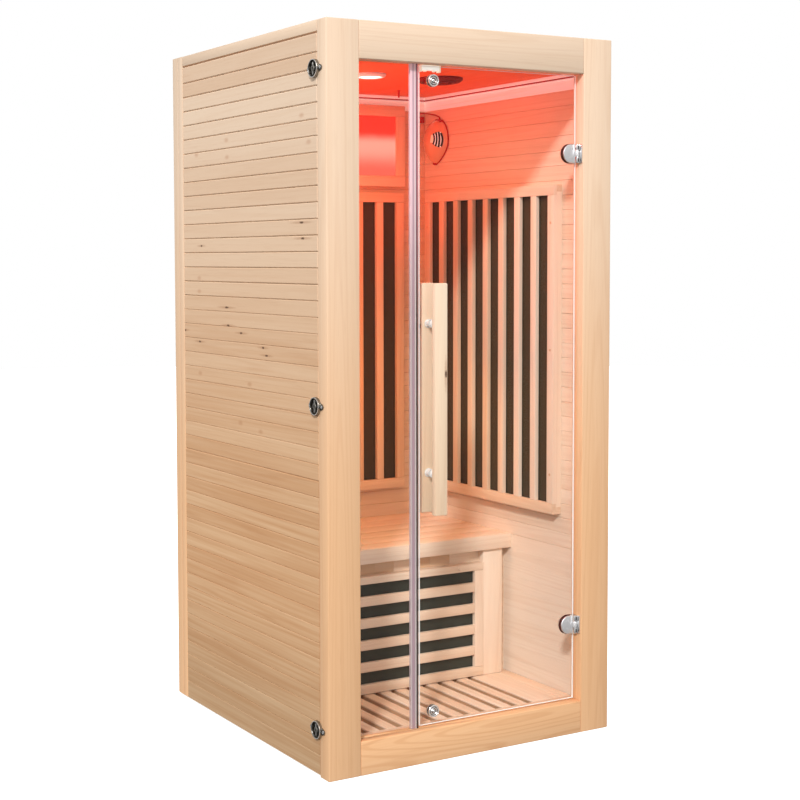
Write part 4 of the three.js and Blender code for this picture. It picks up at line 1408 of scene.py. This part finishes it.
@dataclass
class Bench:
    """Seat of glued boards on a front of finger-jointed blocks with two posts."""

    boards: int = 5
    nosing: float = 0.075
    ease: float = 0.002
    rows: int = 7
    panel_depth: float = 0.018
    post_width: float = 0.069
    post_inner: float = 0.319
    shortest: float = 0.050
    longest: float = 0.170
    top_row: tuple[tuple[float, float], ...] = (
        (-0.090, 0.5), (-0.044, 1.05), (0.020, 0.70), (0.075, 0.35), (0.110, 0.55), (0.145, 0.95), (0.215, 0.75),
        (0.290, 0.15),
    )

    def blocks(self, start: float, end: float, draws: Tones) -> list[tuple[float, float]]:
        """Draws the blocks of one row.

        Args:
            start: Left end of the row.
            end: Right end of the row.
            draws: Where lengths and tones come from.

        Returns:
            Right end and tone of each block.
        """
        row = []
        while start < end - TOUCH:
            start += draws.draws.uniform(self.shortest, self.longest)
            start = end if start > end - self.shortest else start
            row.append((start, 0.35))
        return row

    def build(self) -> None:
        """Makes the seat and the front in place of their solids."""
        low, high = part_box("bench_seat")
        draws = Tones(71, 0.22, 0.12)
        solid = Solid()
        edges = [low.y, low.y + self.nosing]
        pitch = (high.y - edges[1]) / self.boards
        edges += [edges[1] + pitch * (board + 1) for board in range(self.boards)]
        for near, far in zip(edges, edges[1:]):
            # Painted light: the nosing board takes the palest tone, standing for light on the seat's front edge.
            tone = 0.0 if near == low.y else None
            solid.add(block((low.x, near, low.z), (high.x, far - JOINT_LINE, high.z), self.ease / 2), 0,
                      **draws.board(tone))
        along = replace(INSIDE, grain=Axis.X).make()
        solid.piece("bench_seat_boards", [along], Slot.BOARDS, stands_for=["bench_seat"])

        low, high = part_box("bench_front_panel")
        face = high.y - self.panel_depth
        draws = Tones(72, 0.30, 0.10)
        solid = Solid()
        pitch = (high.z - low.z) / self.rows
        for row in range(self.rows):
            start = low.x
            foot = low.z + row * pitch
            is_top = row == self.rows - 1
            blocks = [*self.top_row, (high.x, 0.2)] if is_top else self.blocks(start, high.x, draws)
            for end, tone in blocks:
                solid.add(block((start, face, foot), (end - 0.0002, high.y, foot + pitch - 0.0002), 0.0004, 1), 0,
                          **draws.board(tone))
                start = end
        post_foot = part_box("floor_duckboard")[1].z + SEAM
        for side in Side:
            inner = side.value * self.post_inner
            solid.add(block((inner, low.y, post_foot), (inner + side.value * self.post_width, face, high.z),
                            self.ease), 1, **draws.board(0.08))
        solid.piece("bench_front_blocks", [along, replace(INSIDE, grain=Axis.Z).make()], Slot.BOARDS,
                    stands_for=["bench_front_panel"])


@dataclass
class HeaterGuard:
    """Slatted guard over a heater: two rails, two stiles, slats and plugged screw holes."""

    node: str
    across: Axis
    shown: int
    seed: int
    strips: int = 8
    upright: bool = True
    stile: float = 0.028
    rail: float = 0.030
    slat: float = 0.025
    top_rail: float = 0.030
    front: float = 0.012
    rim: float = 0.020
    ease: float = 0.0014
    plug: float = 0.0040
    plug_shares: tuple[float, ...] = (0.12, 0.50, 0.885)
    pegs: tuple[tuple[float, float], ...] = ()
    tone: float = 0.28
    # Painted light: number of slats that, with the first stile and its backing, take the palest tone.
    pale_members: int = 0

    def build(self) -> None:
        """Makes the guard in place of its solid."""
        low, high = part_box(self.node)
        run = Axis.Y if self.across is Axis.X else Axis.X
        lies = self.across.value
        face, back = (high[lies], low[lies]) if self.shown > 0 else (low[lies], high[lies])
        inner = face - self.shown * self.front
        left, right = low[run.value], high[run.value]
        draws = Tones(self.seed, self.tone, 0.12)
        solid = Solid()

        def corner(along: float, depth: float, height: float) -> tuple[float, float, float]:
            """Point from a place along the guard, a depth and a height."""
            return (depth, along, height) if self.across is Axis.X else (along, depth, height)

        def member(start: float, end: float, foot: float, top: float, finish: int,
                   tone: float | None = None) -> None:
            """Adds one front member with eased front edges."""
            solid.add(block(corner(start, inner, foot), corner(end, face, top), self.ease, 2,
                            edges_on(self.across, face)), finish, **draws.board(tone))

        def backing(start: float, end: float, foot: float, top: float, finish: int,
                    tone: float | None = None) -> None:
            """Adds one strip of the rim behind the front members."""
            solid.add(block(corner(start, back, foot), corner(end, inner, top)), finish, **draws.board(tone))

        line = JOINT_LINE / 2
        foot, top = low.z + self.rail, high.z - self.top_rail
        member(left, right, low.z, foot, 0)
        member(left, right, top, high.z, 0)
        # Painted light: with pale_members the first stile, its backing and the first slats take the palest tone,
        # standing for the white light on that end.
        end_tone = 0.0 if self.pale_members else self.tone
        member(left, left + self.stile, foot + line, top - line, 1, end_tone)
        member(right - self.stile, right, foot + line, top - line, 1)
        backing(left, right, low.z, low.z + self.rim, 0)
        backing(left, right, high.z - self.rim, high.z, 0)
        backing(left, left + self.rim, low.z + self.rim, high.z - self.rim, 1, end_tone)
        backing(right - self.rim, right, low.z + self.rim, high.z - self.rim, 1)
        first, last = (left + self.stile, right - self.stile) if self.upright else (foot, top)
        gap = (last - first - (self.strips - 1) * self.slat) / self.strips
        for index in range(1, self.strips):
            start = first + index * (gap + self.slat) - self.slat
            tone = 0.0 if index <= self.pale_members else self.tone
            if self.upright:
                member(start, start + self.slat, foot + line, top - line, 1, tone)
            else:
                member(left + self.stile + line, right - self.stile - line, start, start + self.slat, 0)
        for share in self.plug_shares:
            for start in (left + self.stile / 2, right - self.stile / 2):
                height = low.z + share * (high.z - low.z)
                spot = Vector(corner(start, face, height))
                proud = self.across.unit() * self.shown * 0.0004
                solid.add(rod(spot - proud * 8, spot + proud, self.plug, 0.0003, 16), 1, **draws.board(1.0))
        for along, height in self.pegs:
            spot = Vector(corner(along, face, height))
            proud = self.across.unit() * self.shown * 0.0045
            solid.add(rod(spot - proud, spot + proud, 0.0055, 0.0018, 20), 1, 0.0)
        finishes = [replace(INSIDE, grain=run).make(), replace(INSIDE, grain=Axis.Z).make()]
        solid.piece(f"{self.node}_slats", finishes, Slot.BOARDS, stands_for=[self.node])


@dataclass
class LampPanel:
    """Colour light panel on the back wall: a timber border and a lit diffuser."""

    border: float = 0.034
    ease: float = 0.002

    def build(self) -> None:
        """Makes the border and the diffuser in place of their solids."""
        low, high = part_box("lamp_panel_frame")
        draws = Tones(91, 0.4, 0.15)
        solid = Solid()
        for foot in (low.z, high.z - self.border):
            solid.add(block((low.x, low.y, foot), (high.x, high.y, foot + self.border), self.ease), 0,
                      **draws.board())
        for start in (low.x, high.x - self.border):
            solid.add(block((start, low.y, low.z + self.border), (start + self.border, high.y, high.z - self.border),
                            self.ease), 1, **draws.board())
        finishes = [replace(PLANED, grain=Axis.X).make(), replace(PLANED, grain=Axis.Z).make()]
        solid.piece("lamp_panel_border", finishes, Slot.FRAME, stands_for=["lamp_panel_frame"])
        solid = Solid().add(block(*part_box("lamp_panel_diffuser"), 0.002, 3))
        solid.piece("lamp_panel_glow", [DiffuserFinish().make()], Slot.DIFFUSER,
                    stands_for=["lamp_panel_diffuser"])


@dataclass
class CeilingFittings:
    """Round lamp, ringed air vent and the temperature probe under the ceiling."""

    probe_place: tuple[float, float] = (0.214, 0.250)
    probe_length: float = 0.023
    probe_radius: float = 0.0028

    def build(self) -> None:
        """Makes the lamp and vent in place of their solids, and the probe."""
        down = (0.0, 0.0, -1.0)
        low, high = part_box("ceiling_lamp")
        seat = Vector(((low.x + high.x) / 2, (low.y + high.y) / 2, high.z))
        radius, drop = (high.x - low.x) / 2, high.z - low.z
        lens = radius - 0.011
        solid = Solid().add(turned([(lens, 0.0), (radius, 0.0), (radius, drop * 0.35), (radius - 0.004, drop * 0.75),
                                    (lens + 0.003, drop * 0.85), (lens, drop * 0.6), (lens, 0.0)], seat, down, 56))
        dome = [(lens * math.cos(angle), drop * (0.55 + 0.40 * math.sin(angle)))
                for angle in (math.pi / 2 * step / 8 for step in range(9))]
        solid.add(turned([(0.0, 0.001), (lens, 0.001), *dome[:-1], (0.0, drop * 0.95)], seat, down, 48), 1)
        glow = MouldedFinish("warm_lamp_lens", (1.0, 0.82, 0.72), 0.3, 0.05, glow=2.2)
        solid.piece("ceiling_lamp_lens", [WHITE_PLASTIC.make(), glow.make()], Slot.WHITE,
                    stands_for=["ceiling_lamp"])

        low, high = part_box("ceiling_vent")
        seat = Vector(((low.x + high.x) / 2, (low.y + high.y) / 2, high.z))
        radius, drop = (high.x - low.x) / 2, high.z - low.z
        solid = Solid().add(turned([(0.0, 0.0), (radius, 0.0), (radius, drop * 0.4), (radius - 0.008, drop * 0.8),
                                    (radius - 0.014, drop * 0.55), (0.0, drop * 0.5)], seat, down, 64))
        for outer in (0.046, 0.026):
            solid.add(turned([(outer - 0.010, drop * 0.5), (outer, drop * 0.5), (outer - 0.001, drop),
                              (outer - 0.009, drop), (outer - 0.010, drop * 0.5)], seat, down, 56))
        solid.add(turned([(0.0, drop * 0.5), (0.009, drop * 0.5), (0.008, drop * 0.95), (0.0, drop)], seat, down, 32))
        # Painted shade and red light: the vent's dark red stands for the shade and red light on its downward face.
        solid.piece("ceiling_vent_rings", [SHADED_RED_VENT.make()], Slot.VENT, stands_for=["ceiling_vent"])

        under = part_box("ceiling_panel")[0].z
        tip = self.probe_radius
        profile = [(0.0, 0.0), (tip * 1.3, 0.0), (tip * 1.3, 0.003), (tip, 0.0045), (tip, self.probe_length - tip),
                   (tip * 0.7, self.probe_length - tip * 0.3), (0.0, self.probe_length)]
        solid = Solid().add(turned(profile, (*self.probe_place, under), down, 24))
        solid.piece("temperature_probe", [DARK_RED_AND_SHADE.make()], Slot.DARK)


@dataclass
class Speaker:
    """Shield-shaped speaker that leans forward on the right wall, with curved slots, and its lead.

    It is shaped lying on its back: x towards the cabin's front, y up, z out of the wall.
    """

    half_width: float = 0.057
    half_height: float = 0.069
    foot: float = 0.004
    depth: float = 0.042
    taper: float = 0.45
    taper_curve: float = 1.6
    tilt: float = math.radians(8.0)
    slot_starts: tuple[float, ...] = (0.030, 0.0375, 0.0445, 0.0510)
    slot_heights: tuple[float, ...] = (0.032, 0.042, 0.046, 0.040)
    slot_bow: float = 0.005
    slot_rise: float = 0.009
    slot_lean: float = 0.12
    lead: float = 0.002
    outlet: float = 0.020

    def narrow(self, up: float) -> float:
        """Share of the full width at a height from -1 to 1."""
        return 1.0 - self.taper * max(0.0, -up) ** self.taper_curve

    def skin(self, across: float, up: float, lift: float = 0.0) -> Vector:
        """Point on the shield's skin.

        Args:
            across: Place towards the front.
            up: Place upwards.
            lift: How far above the skin.

        Returns:
            The point.
        """
        wide = self.half_width * self.narrow(up / self.half_height)
        ball = max(0.0, 1.0 - (across / wide) ** 2 - (up / self.half_height) ** 2)
        return Vector((across, up, self.foot + (self.depth - self.foot) * math.sqrt(ball) + lift))

    def rim(self, angle: float, depth: float) -> Vector:
        """Point on the shield's outline, by its angle from the front."""
        up = math.sin(angle)
        return Vector((self.half_width * self.narrow(up) * math.cos(angle), self.half_height * up, depth))

    def shield(self) -> BMesh:
        """Shapes the shield from a turned dome.

        Returns:
            The mesh.
        """
        steps = [math.pi / 2 * step / 14 for step in range(14)]
        rise = self.depth - self.foot
        dome = [(math.cos(angle), self.foot + rise * math.sin(angle)) for angle in steps]
        shape = turned([(0.0, 0.0), (1.0, 0.0), *dome, (0.0, self.depth)], sides=64)
        for vert in shape.verts:
            vert.co.x *= self.half_width * self.narrow(vert.co.y)
            vert.co.y *= self.half_height
        return shape

    def details(self, solid: Solid) -> None:
        """Adds slots with pale lips and cream patches beside them, both painted highlights, the dark rim, partly a
        gasket and partly painted shadow, two screws, the lead's clip and the foot knob.

        Args:
            solid: Takes the shapes.
        """
        for index, (across, tall) in enumerate(zip(self.slot_starts, self.slot_heights)):
            # Painted highlights: the pale lips beside the slots stand for light caught on their edges.
            lips = [(2, 0.0017, 0.0040)] if index < len(self.slot_starts) - 1 else []
            for finish, radius, aside in [(3, 0.0034, 0.0), *lips]:
                route = []
                for step in range(9):
                    share = step / 4 - 1.0
                    bend = self.slot_bow * (1.0 - share ** 2) - self.slot_lean * share * tall / 2
                    up = self.slot_rise + share * tall / 2
                    route.append(self.skin(across + aside - self.slot_bow + bend, up, 0.0002))
                solid.add(tube(route, radius), finish)
        # Painted highlights: glowing cream patches beside the slots stand for the light on the shield there.
        for across, lift in ((0.022, -0.0042), (0.016, -0.0052)):
            glow = [self.skin(across, self.slot_rise + 0.006 * (step - 2), lift) for step in range(5)]
            solid.add(tube(glow, 0.0058), 4)
        # The dark red rim is partly a gasket and partly painted shadow round the shield.
        ring = [self.rim(2 * math.pi * step / 48, 0.0025) for step in range(48)]
        solid.add(tube([*ring, ring[0]], 0.0022), 1)
        for up in (0.026, -0.022):
            solid.add(turned([(0.0, 0.0), (0.0030, 0.0), (0.0026, 0.0014), (0.0, 0.0018)],
                             self.skin(-0.046, up, -0.0004), sides=20), 1)
        top = self.rim(math.pi / 2, 0.0)
        solid.add(block(top + Vector((-0.010, -0.008, 0.001)), top + Vector((0.022, 0.001, 0.014)), 0.003), 1)
        toe = self.rim(-math.pi / 2, 0.001)
        solid.add(turned([(0.0, 0.0), (0.0055, 0.0), (0.0055, 0.009), (0.004, 0.011), (0.0, 0.0115)], toe,
                         sides=24), 1)

    def build(self) -> None:
        """Makes the speaker, the lead and its outlet in place of their solids."""
        low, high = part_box("speaker")
        lean, plumb = math.sin(self.tilt), math.cos(self.tilt)
        seat = Vector((high.x, low.y + math.hypot(self.half_width * plumb, self.half_height * lean),
                       high.z - math.hypot(self.half_height * plumb, self.half_width * lean)))
        basis = Matrix(((0, -1, 0), (0, 0, 1), (-1, 0, 0))).transposed().to_4x4()
        turn = Matrix.Translation(seat) @ basis @ Matrix.Rotation(-self.tilt, 4, "Z")
        solid = Solid().add(self.shield())
        self.details(solid)
        # The slot lips and the cream patches glow as painted highlights.
        pale = MouldedFinish("pale_slot_lip", (0.95, 0.88, 0.80), 0.35, glow=0.35)
        shell = MouldedFinish("pale_moulding", (0.86, 0.44, 0.26), 0.16, 0.34, coat=1.0)
        cream = MouldedFinish("cream_grille", (0.94, 0.70, 0.48), 0.30, 0.10, glow=0.22)
        finishes = [shell.make(), DARK_RED_AND_SHADE.make(), pale.make(), BLACK_PLASTIC.make(), cream.make()]
        solid.turn_to(turn).piece("speaker_shield", finishes, Slot.WHITE, stands_for=["speaker"])

        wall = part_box("right_wall_lining")[0].x - self.lead - 0.0007
        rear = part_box("back_wall_lining")[0].y - self.lead - 0.0007
        start, top = seat.y - self.half_height * lean, high.z
        route = [(wall, start, top + 0.0007), (wall, start, top + 0.005), (wall, start + 0.010, top + 0.011),
                 (wall, start + 0.040, top + 0.019), (wall - 0.001, rear - 0.020, top + 0.023),
                 (wall - 0.007, rear - 0.007, top + 0.0245), (wall - 0.020, rear - 0.001, top + 0.026),
                 (wall - 0.050, rear, top + 0.029)]
        solid = Solid().add(tube(route, self.lead))
        solid.add(turned([(0.0, 0.0), (0.006, 0.0), (0.005, 0.004), (0.0, 0.005)],
                         (wall - 0.050, rear + 0.0024, top + 0.029), (0, -1, 0), 20))
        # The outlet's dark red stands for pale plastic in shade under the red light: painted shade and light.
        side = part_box("right_wall_lining")[0].x - 0.006
        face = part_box("back_wall_lining")[0].y
        foot = top - 0.005
        solid.add(block((side - self.outlet, face - 0.006, foot), (side, face, foot + self.outlet), 0.002))
        solid.piece("speaker_lead", [DARK_RED_AND_SHADE.make()], Slot.DARK, stands_for=["speaker_cable"])


@dataclass
class Controls:
    """Control panel on the left wall: rounded plate, dark display, touch domes and the push button."""

    corner: float = 0.006
    display: tuple[float, float] = (0.056, 0.040)
    dome: float = 0.005

    def build(self) -> None:
        """Makes the panel and its button in place of their solids."""
        low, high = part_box("control_panel")
        middle = (low + high) / 2
        shape = block(low, high)
        soften(shape, self.corner, 4, edges_along(Axis.X))
        soften(shape, 0.0012, 2, edges_on(Axis.X, high.x))
        solid = Solid().add(shape)
        half_width, half_height = (size / 2 for size in self.display)
        centre = middle.y - 0.018
        solid.add(block((high.x - 0.001, centre - half_width, middle.z - half_height),
                        (high.x + 0.0006, centre + half_width, middle.z + half_height), 0.0005), 1)
        for step in (-0.022, 0.0, 0.022):
            if step != 0.0:
                solid.add(turned([(0.0, 0.0), (self.dome, 0.0), (self.dome * 0.8, 0.0012), (0.0, 0.0016)],
                                 (high.x - 0.0002, middle.y + 0.036, middle.z + step), (1, 0, 0), 24), 2)
        button_low, button_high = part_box("power_button")
        button = (button_low + button_high) / 2
        radius = (button_high.y - button_low.y) / 2
        solid.add(turned([(radius + 0.0007, 0.0), (radius + 0.003, 0.0), (radius + 0.0024, 0.0010),
                          (radius + 0.0011, 0.0010), (radius + 0.0007, 0.0)],
                         (high.x - 0.0002, button.y, button.z), (1, 0, 0), 40), 2)
        display = MouldedFinish("display_window", (0.015, 0.020, 0.024), 0.10, 0.1, coat=1.0)
        solid.piece("control_panel_plate", [BLACK_PLASTIC.make(), display.make(), CHROME.make()], Slot.DARK,
                    stands_for=["control_panel"])
        length = button_high.x - button_low.x
        cap = turned([(0.0, 0.0), (radius, 0.0), (radius, length - 0.0012), (radius - 0.0012, length),
                      (radius * 0.55, length - 0.0006), (0.0, length - 0.0009)],
                     (button_low.x, button.y, button.z), (1, 0, 0), 40)
        Solid().add(cap).piece("power_button_cap", [WHITE_PLASTIC.make()], Slot.WHITE, "power_button",
                               ["power_button"])


def edges_along(run: Axis) -> EdgeTest:
    """Makes a test for the edges that follow one axis.

    Args:
        run: The axis.

    Returns:
        The test.
    """
    def pick(edge: BMEdge) -> bool:
        """True for an edge along the axis."""
        start, end = (vert.co for vert in edge.verts)
        return abs((end - start).normalized()[run.value]) > 0.99
    return pick


@dataclass
class Duckboard:
    """Floor grid of rounded slats on battens, with a ledge at the door."""

    board: float = 0.020
    crown: float = 0.0045
    ledge: float = 0.070
    pitch: float = 0.054
    gap: float = 0.0215
    gaps: int = 11
    batten: float = 0.040
    edge_groove: float = 0.037
    ease: float = 0.003

    def build(self) -> None:
        """Makes the grid in place of its solid."""
        low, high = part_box("floor_duckboard")
        under = high.z - self.board
        shoulder = high.z - self.crown
        step = low.y + self.ledge
        draws = Tones(53, 0.34, 0.22)
        solid = Solid()
        top_edges = edges_on(Axis.Z, high.z)
        solid.add(block((low.x, low.y, under), (high.x, step - JOINT_LINE, high.z), self.ease, 3, top_edges), 0,
                  **draws.board())
        first = -(self.gaps - 1) / 2 * self.pitch
        lines = [first + index * self.pitch for index in range(self.gaps)]
        slats = [(line + self.gap / 2, line + self.pitch - self.gap / 2) for line in lines[:-1]]
        outer = lines[-1] + self.gap / 2
        groove = high.x - self.edge_groove
        slats += [(-groove + JOINT_LINE, -outer), (low.x, -groove - JOINT_LINE),
                  (outer, groove - JOINT_LINE), (groove + JOINT_LINE, high.x)]
        for start, end in slats:
            solid.add(block((start, step, shoulder), (end, high.y, high.z), self.ease, 3, top_edges), 1,
                      **draws.board())
            # Painted shade: the lower part of each slat is darker, standing for the shade in the gaps.
            solid.add(block((start + 0.0004, step, under), (end - 0.0004, high.y, shoulder)), 2)
        run = high.y - low.y - self.batten
        for share in (0.0, 0.5, 1.0):
            near = low.y + share * run
            solid.add(block((low.x, near, low.z), (high.x, near + self.batten, under), 0.001), 0, **draws.board())
        finishes = [replace(INSIDE, grain=Axis.X).make(), replace(INSIDE, grain=Axis.Y).make(),
                    replace(GAP_SHADE_TIMBER, grain=Axis.Y).make()]
        solid.piece("duckboard_slats", finishes, Slot.BOARDS, stands_for=["floor_duckboard"])


@dataclass
class PlainSolids:
    """Solids of the frame that keep their own shape and get a finish."""

    def build(self) -> None:
        """Dresses base, ceiling, heaters and power unit."""
        heater = CarbonFinish().make()
        coated = MouldedFinish("coated_steel", (0.40, 0.41, 0.42), 0.45, 0.15, 1400.0, 0.08).make()
        # The ceiling panel's deep red timber is painted light, standing for the red light on it.
        finishes = {"base_floor": SHADED.make(), "ceiling_panel": replace(RED_LIT_CEILING, grain=Axis.Y).make(),
                    "power_unit": coated}
        finishes |= {f"{place}_heater": heater for place in ("back", "right", "left", "leg")}
        for node, finish in finishes.items():
            mesh = frame["nodes"][node].data
            mesh.materials.clear()
            mesh.materials.append(finish)
            LOG.info("%s keeps its solid, dressed in %s", node, finish.name)


# Studio


@dataclass
class Studio:
    """Pale floor, soft lights, the cabin's own red light and the camera."""

    camera_place: tuple[float, float, float] = (-2.327, -3.675, 1.3176)
    camera_heading: float = -29.02
    camera_dip: float = 3.307
    camera_roll: float = -0.3205
    lens: float = 68.234
    shift: tuple[float, float] = (0.13, -0.07)
    floor_radius: float = 14.0

    def light(self, name: str, place: Point, target: Point, size: tuple[float, float], power: float,
              colour: Colour = (1.0, 1.0, 1.0)) -> None:
        """Adds an oblong area light.

        Args:
            name: Its name.
            place: Where it hangs.
            target: Where it points.
            size: Its width and height.
            power: Power in watts.
            colour: Colour of its light.
        """
        lamp = bpy.data.lights.new(name, "AREA")
        lamp.shape = "RECTANGLE"
        lamp.size, lamp.size_y = size
        lamp.energy = power
        lamp.color = colour
        made = bpy.data.objects.new(name, lamp)
        made.location = place
        made.rotation_euler = (Vector(target) - Vector(place)).to_track_quat("-Z", "Y").to_euler()
        made.visible_camera = False
        made.visible_glossy = name.startswith("studio")
        bpy.context.scene.collection.objects.link(made)

    def sun(self, name: str, aim: Point, strength: float, spread: float) -> None:
        """Adds the even key light.

        Args:
            name: Its name.
            aim: Direction that it shines in.
            strength: Power in watts for each square metre.
            spread: Its width in the sky, in degrees.
        """
        lamp = bpy.data.lights.new(name, "SUN")
        lamp.energy = strength
        lamp.angle = math.radians(spread)
        made = bpy.data.objects.new(name, lamp)
        made.rotation_euler = Vector(aim).to_track_quat("-Z", "Y").to_euler()
        bpy.context.scene.collection.objects.link(made)

    def world(self) -> None:
        """Makes a white backdrop whose light is brighter from above."""
        world = bpy.data.worlds.new("studio")
        bpy.context.scene.world = world
        world.use_nodes = True
        tree = world.node_tree
        output = tree.nodes["World Output"]
        lit = tree.nodes["Background"]
        seen = tree.nodes.new("ShaderNodeBackground")
        seen.inputs[0].default_value = (1.0, 1.0, 1.0, 1.0)
        place = tree.nodes.new("ShaderNodeTexCoord")
        parts = tree.nodes.new("ShaderNodeSeparateXYZ")
        bright = tree.nodes.new("ShaderNodeMapRange")
        path = tree.nodes.new("ShaderNodeLightPath")
        both = tree.nodes.new("ShaderNodeMixShader")
        for index, value in enumerate((-0.6, 0.9, 0.30, 0.95), start=1):
            bright.inputs[index].default_value = value
        lit.inputs[0].default_value = (1.0, 0.985, 0.965, 1.0)
        for start, end in ((place.outputs["Generated"], parts.inputs[0]), (parts.outputs["Z"], bright.inputs[0]),
                           (bright.outputs[0], lit.inputs[1]), (path.outputs["Is Camera Ray"], both.inputs[0]),
                           (lit.outputs[0], both.inputs[1]), (seen.outputs[0], both.inputs[2]),
                           (both.outputs[0], output.inputs[0])):
            tree.links.new(start, end)

    def floor(self) -> None:
        """Makes the plain pale floor."""
        shape = bmesh.new()
        bmesh.ops.create_circle(shape, cap_ends=True, segments=64, radius=self.floor_radius)
        bmesh.ops.translate(shape, vec=(0.0, 0.0, -0.0005), verts=shape.verts)
        mesh = bpy.data.meshes.new("studio_floor")
        shape.to_mesh(mesh)
        shape.free()
        finish = MouldedFinish("pale_floor", (0.90, 0.90, 0.90), 0.8, 0.02, 20.0, 0.01, glow=0.80)
        mesh.materials.append(finish.make())
        made = bpy.data.objects.new("studio_floor", mesh)
        bpy.context.scene.collection.objects.link(made)
        made.visible_diffuse = False
        made.visible_glossy = False

    def camera(self) -> None:
        """Places the camera at the photograph's viewing angle."""
        data = bpy.data.cameras.new("camera")
        data.lens = self.lens
        data.sensor_width = 36.0
        data.shift_x, data.shift_y = self.shift
        made = bpy.data.objects.new("camera", data)
        turn = Matrix.Rotation(math.radians(self.camera_heading), 4, "Z")
        turn = turn @ Matrix.Rotation(math.radians(90.0 - self.camera_dip), 4, "X")
        turn = turn @ Matrix.Rotation(math.radians(self.camera_roll), 4, "Z")
        made.matrix_world = Matrix.Translation(self.camera_place) @ turn
        bpy.context.scene.collection.objects.link(made)
        bpy.context.scene.camera = made

    def build(self) -> None:
        """Makes camera, floor, backdrop and lights."""
        bpy.context.scene.view_settings.view_transform = "Standard"
        self.camera()
        self.floor()
        self.world()
        red = (1.0, 0.02, 0.008)
        self.sun("studio_key", (0.9, 1.0, -0.886), 2.26, 6.3)
        self.light("cabin_fill", (-0.375, -0.20, 0.75), (0.40, -0.20, 0.75), (0.33, 1.10), 0.7, (0.55, 0.75, 1.0))
        self.light("floor_fill", (0.0, -0.20, 1.0), (0.0, -0.20, 0.0), (0.50, 0.30), 0.45, (1.0, 0.62, 0.30))
        self.light("ceiling_red", (0.05, 0.0, 1.62), (0.05, 0.0, 1.9), (0.55, 0.55), 0.75, red)
        self.light("wall_red", (-0.30, 0.0, 1.70), (0.41, 0.0, 1.70), (0.40, 0.15), 1.9, (1.0, 0.18, 0.15))
        self.light("back_orange", (0.0, 0.18, 1.10), (0.0, 0.40, 1.10), (0.45, 0.80), 1.0, (1.0, 0.12, 0.0))
        self.light("under_panel", (0.10, 0.20, 1.45), (0.10, 0.41, 1.50), (0.50, 0.15), 0.42, (1.0, 0.05, 0.0))
        self.light("bench_warm", (0.0, -0.05, 0.95), (0.0, 0.40, 0.60), (0.45, 0.35), 0.9, (1.0, 0.56, 0.13))
        self.light("lamp_warm", (-0.085, -0.065, 1.795), (-0.085, -0.065, 0.0), (0.06, 0.06), 1.1, (1.0, 0.75, 0.30))


CLEAR_GLASS = GlassFinish().make()


def main() -> None:
    """Builds the studio and every sub-assembly in order."""
    logging.basicConfig(level=logging.INFO, format="%(name)s: %(message)s")
    lining = {"pitch": 0.0417, "top_course": 0.044, "timber": LINING, "course": lining_course}
    walls = [
        BoardWall("left_wall_panel", Axis.X, -1, 11, top_course=0.047, strips=(0.0, 0.031), timber=KNOTTY,
                  course=left_wall_course),
        BoardWall("right_wall_panel", Axis.X, 1, 12, strips=(0.0, 0.031)),
        BoardWall("back_wall_panel", Axis.Y, 1, 13, strips=(0.036, 0.036)),
        BoardWall("left_wall_lining", Axis.X, 1, 14, **lining),
        BoardWall("right_wall_lining", Axis.X, -1, 15, **lining),
        BoardWall("back_wall_lining", Axis.Y, -1, 16, **(lining | {"course": back_course})),
    ]
    guards = [
        # The back guard's tan tone is painted light, standing for the orange light on the back wall.
        HeaterGuard("back_heater_guard", Axis.Y, -1, 21, tone=0.7),
        # The right guard's pale members are painted light, standing for the white light on its front end.
        HeaterGuard("right_heater_guard", Axis.X, -1, 22, tone=0.5, pale_members=2),
        HeaterGuard("left_heater_guard", Axis.X, 1, 23),
        HeaterGuard("leg_heater_guard", Axis.Y, -1, 24, 5, False, 0.031, 0.027, 0.027, 0.021, plug_shares=(),
                    pegs=((-0.232, 0.3965), (0.232, 0.3965))),
    ]
    assemblies = [Studio(), PlainSolids(), *walls, Roof(), CeilingEdge(), FrontFrame(), SideLight(),
                  GlassSheet("door_glass", DOOR), DoorHandle(), DoorHinges(), DoorCatch(), Clasps(), Bench(), *guards,
                  LampPanel(), CeilingFittings(), Speaker(), Controls(), Duckboard()]
    for assembly in assemblies:
        assembly.build()


if __name__ == "__main__":
    main()
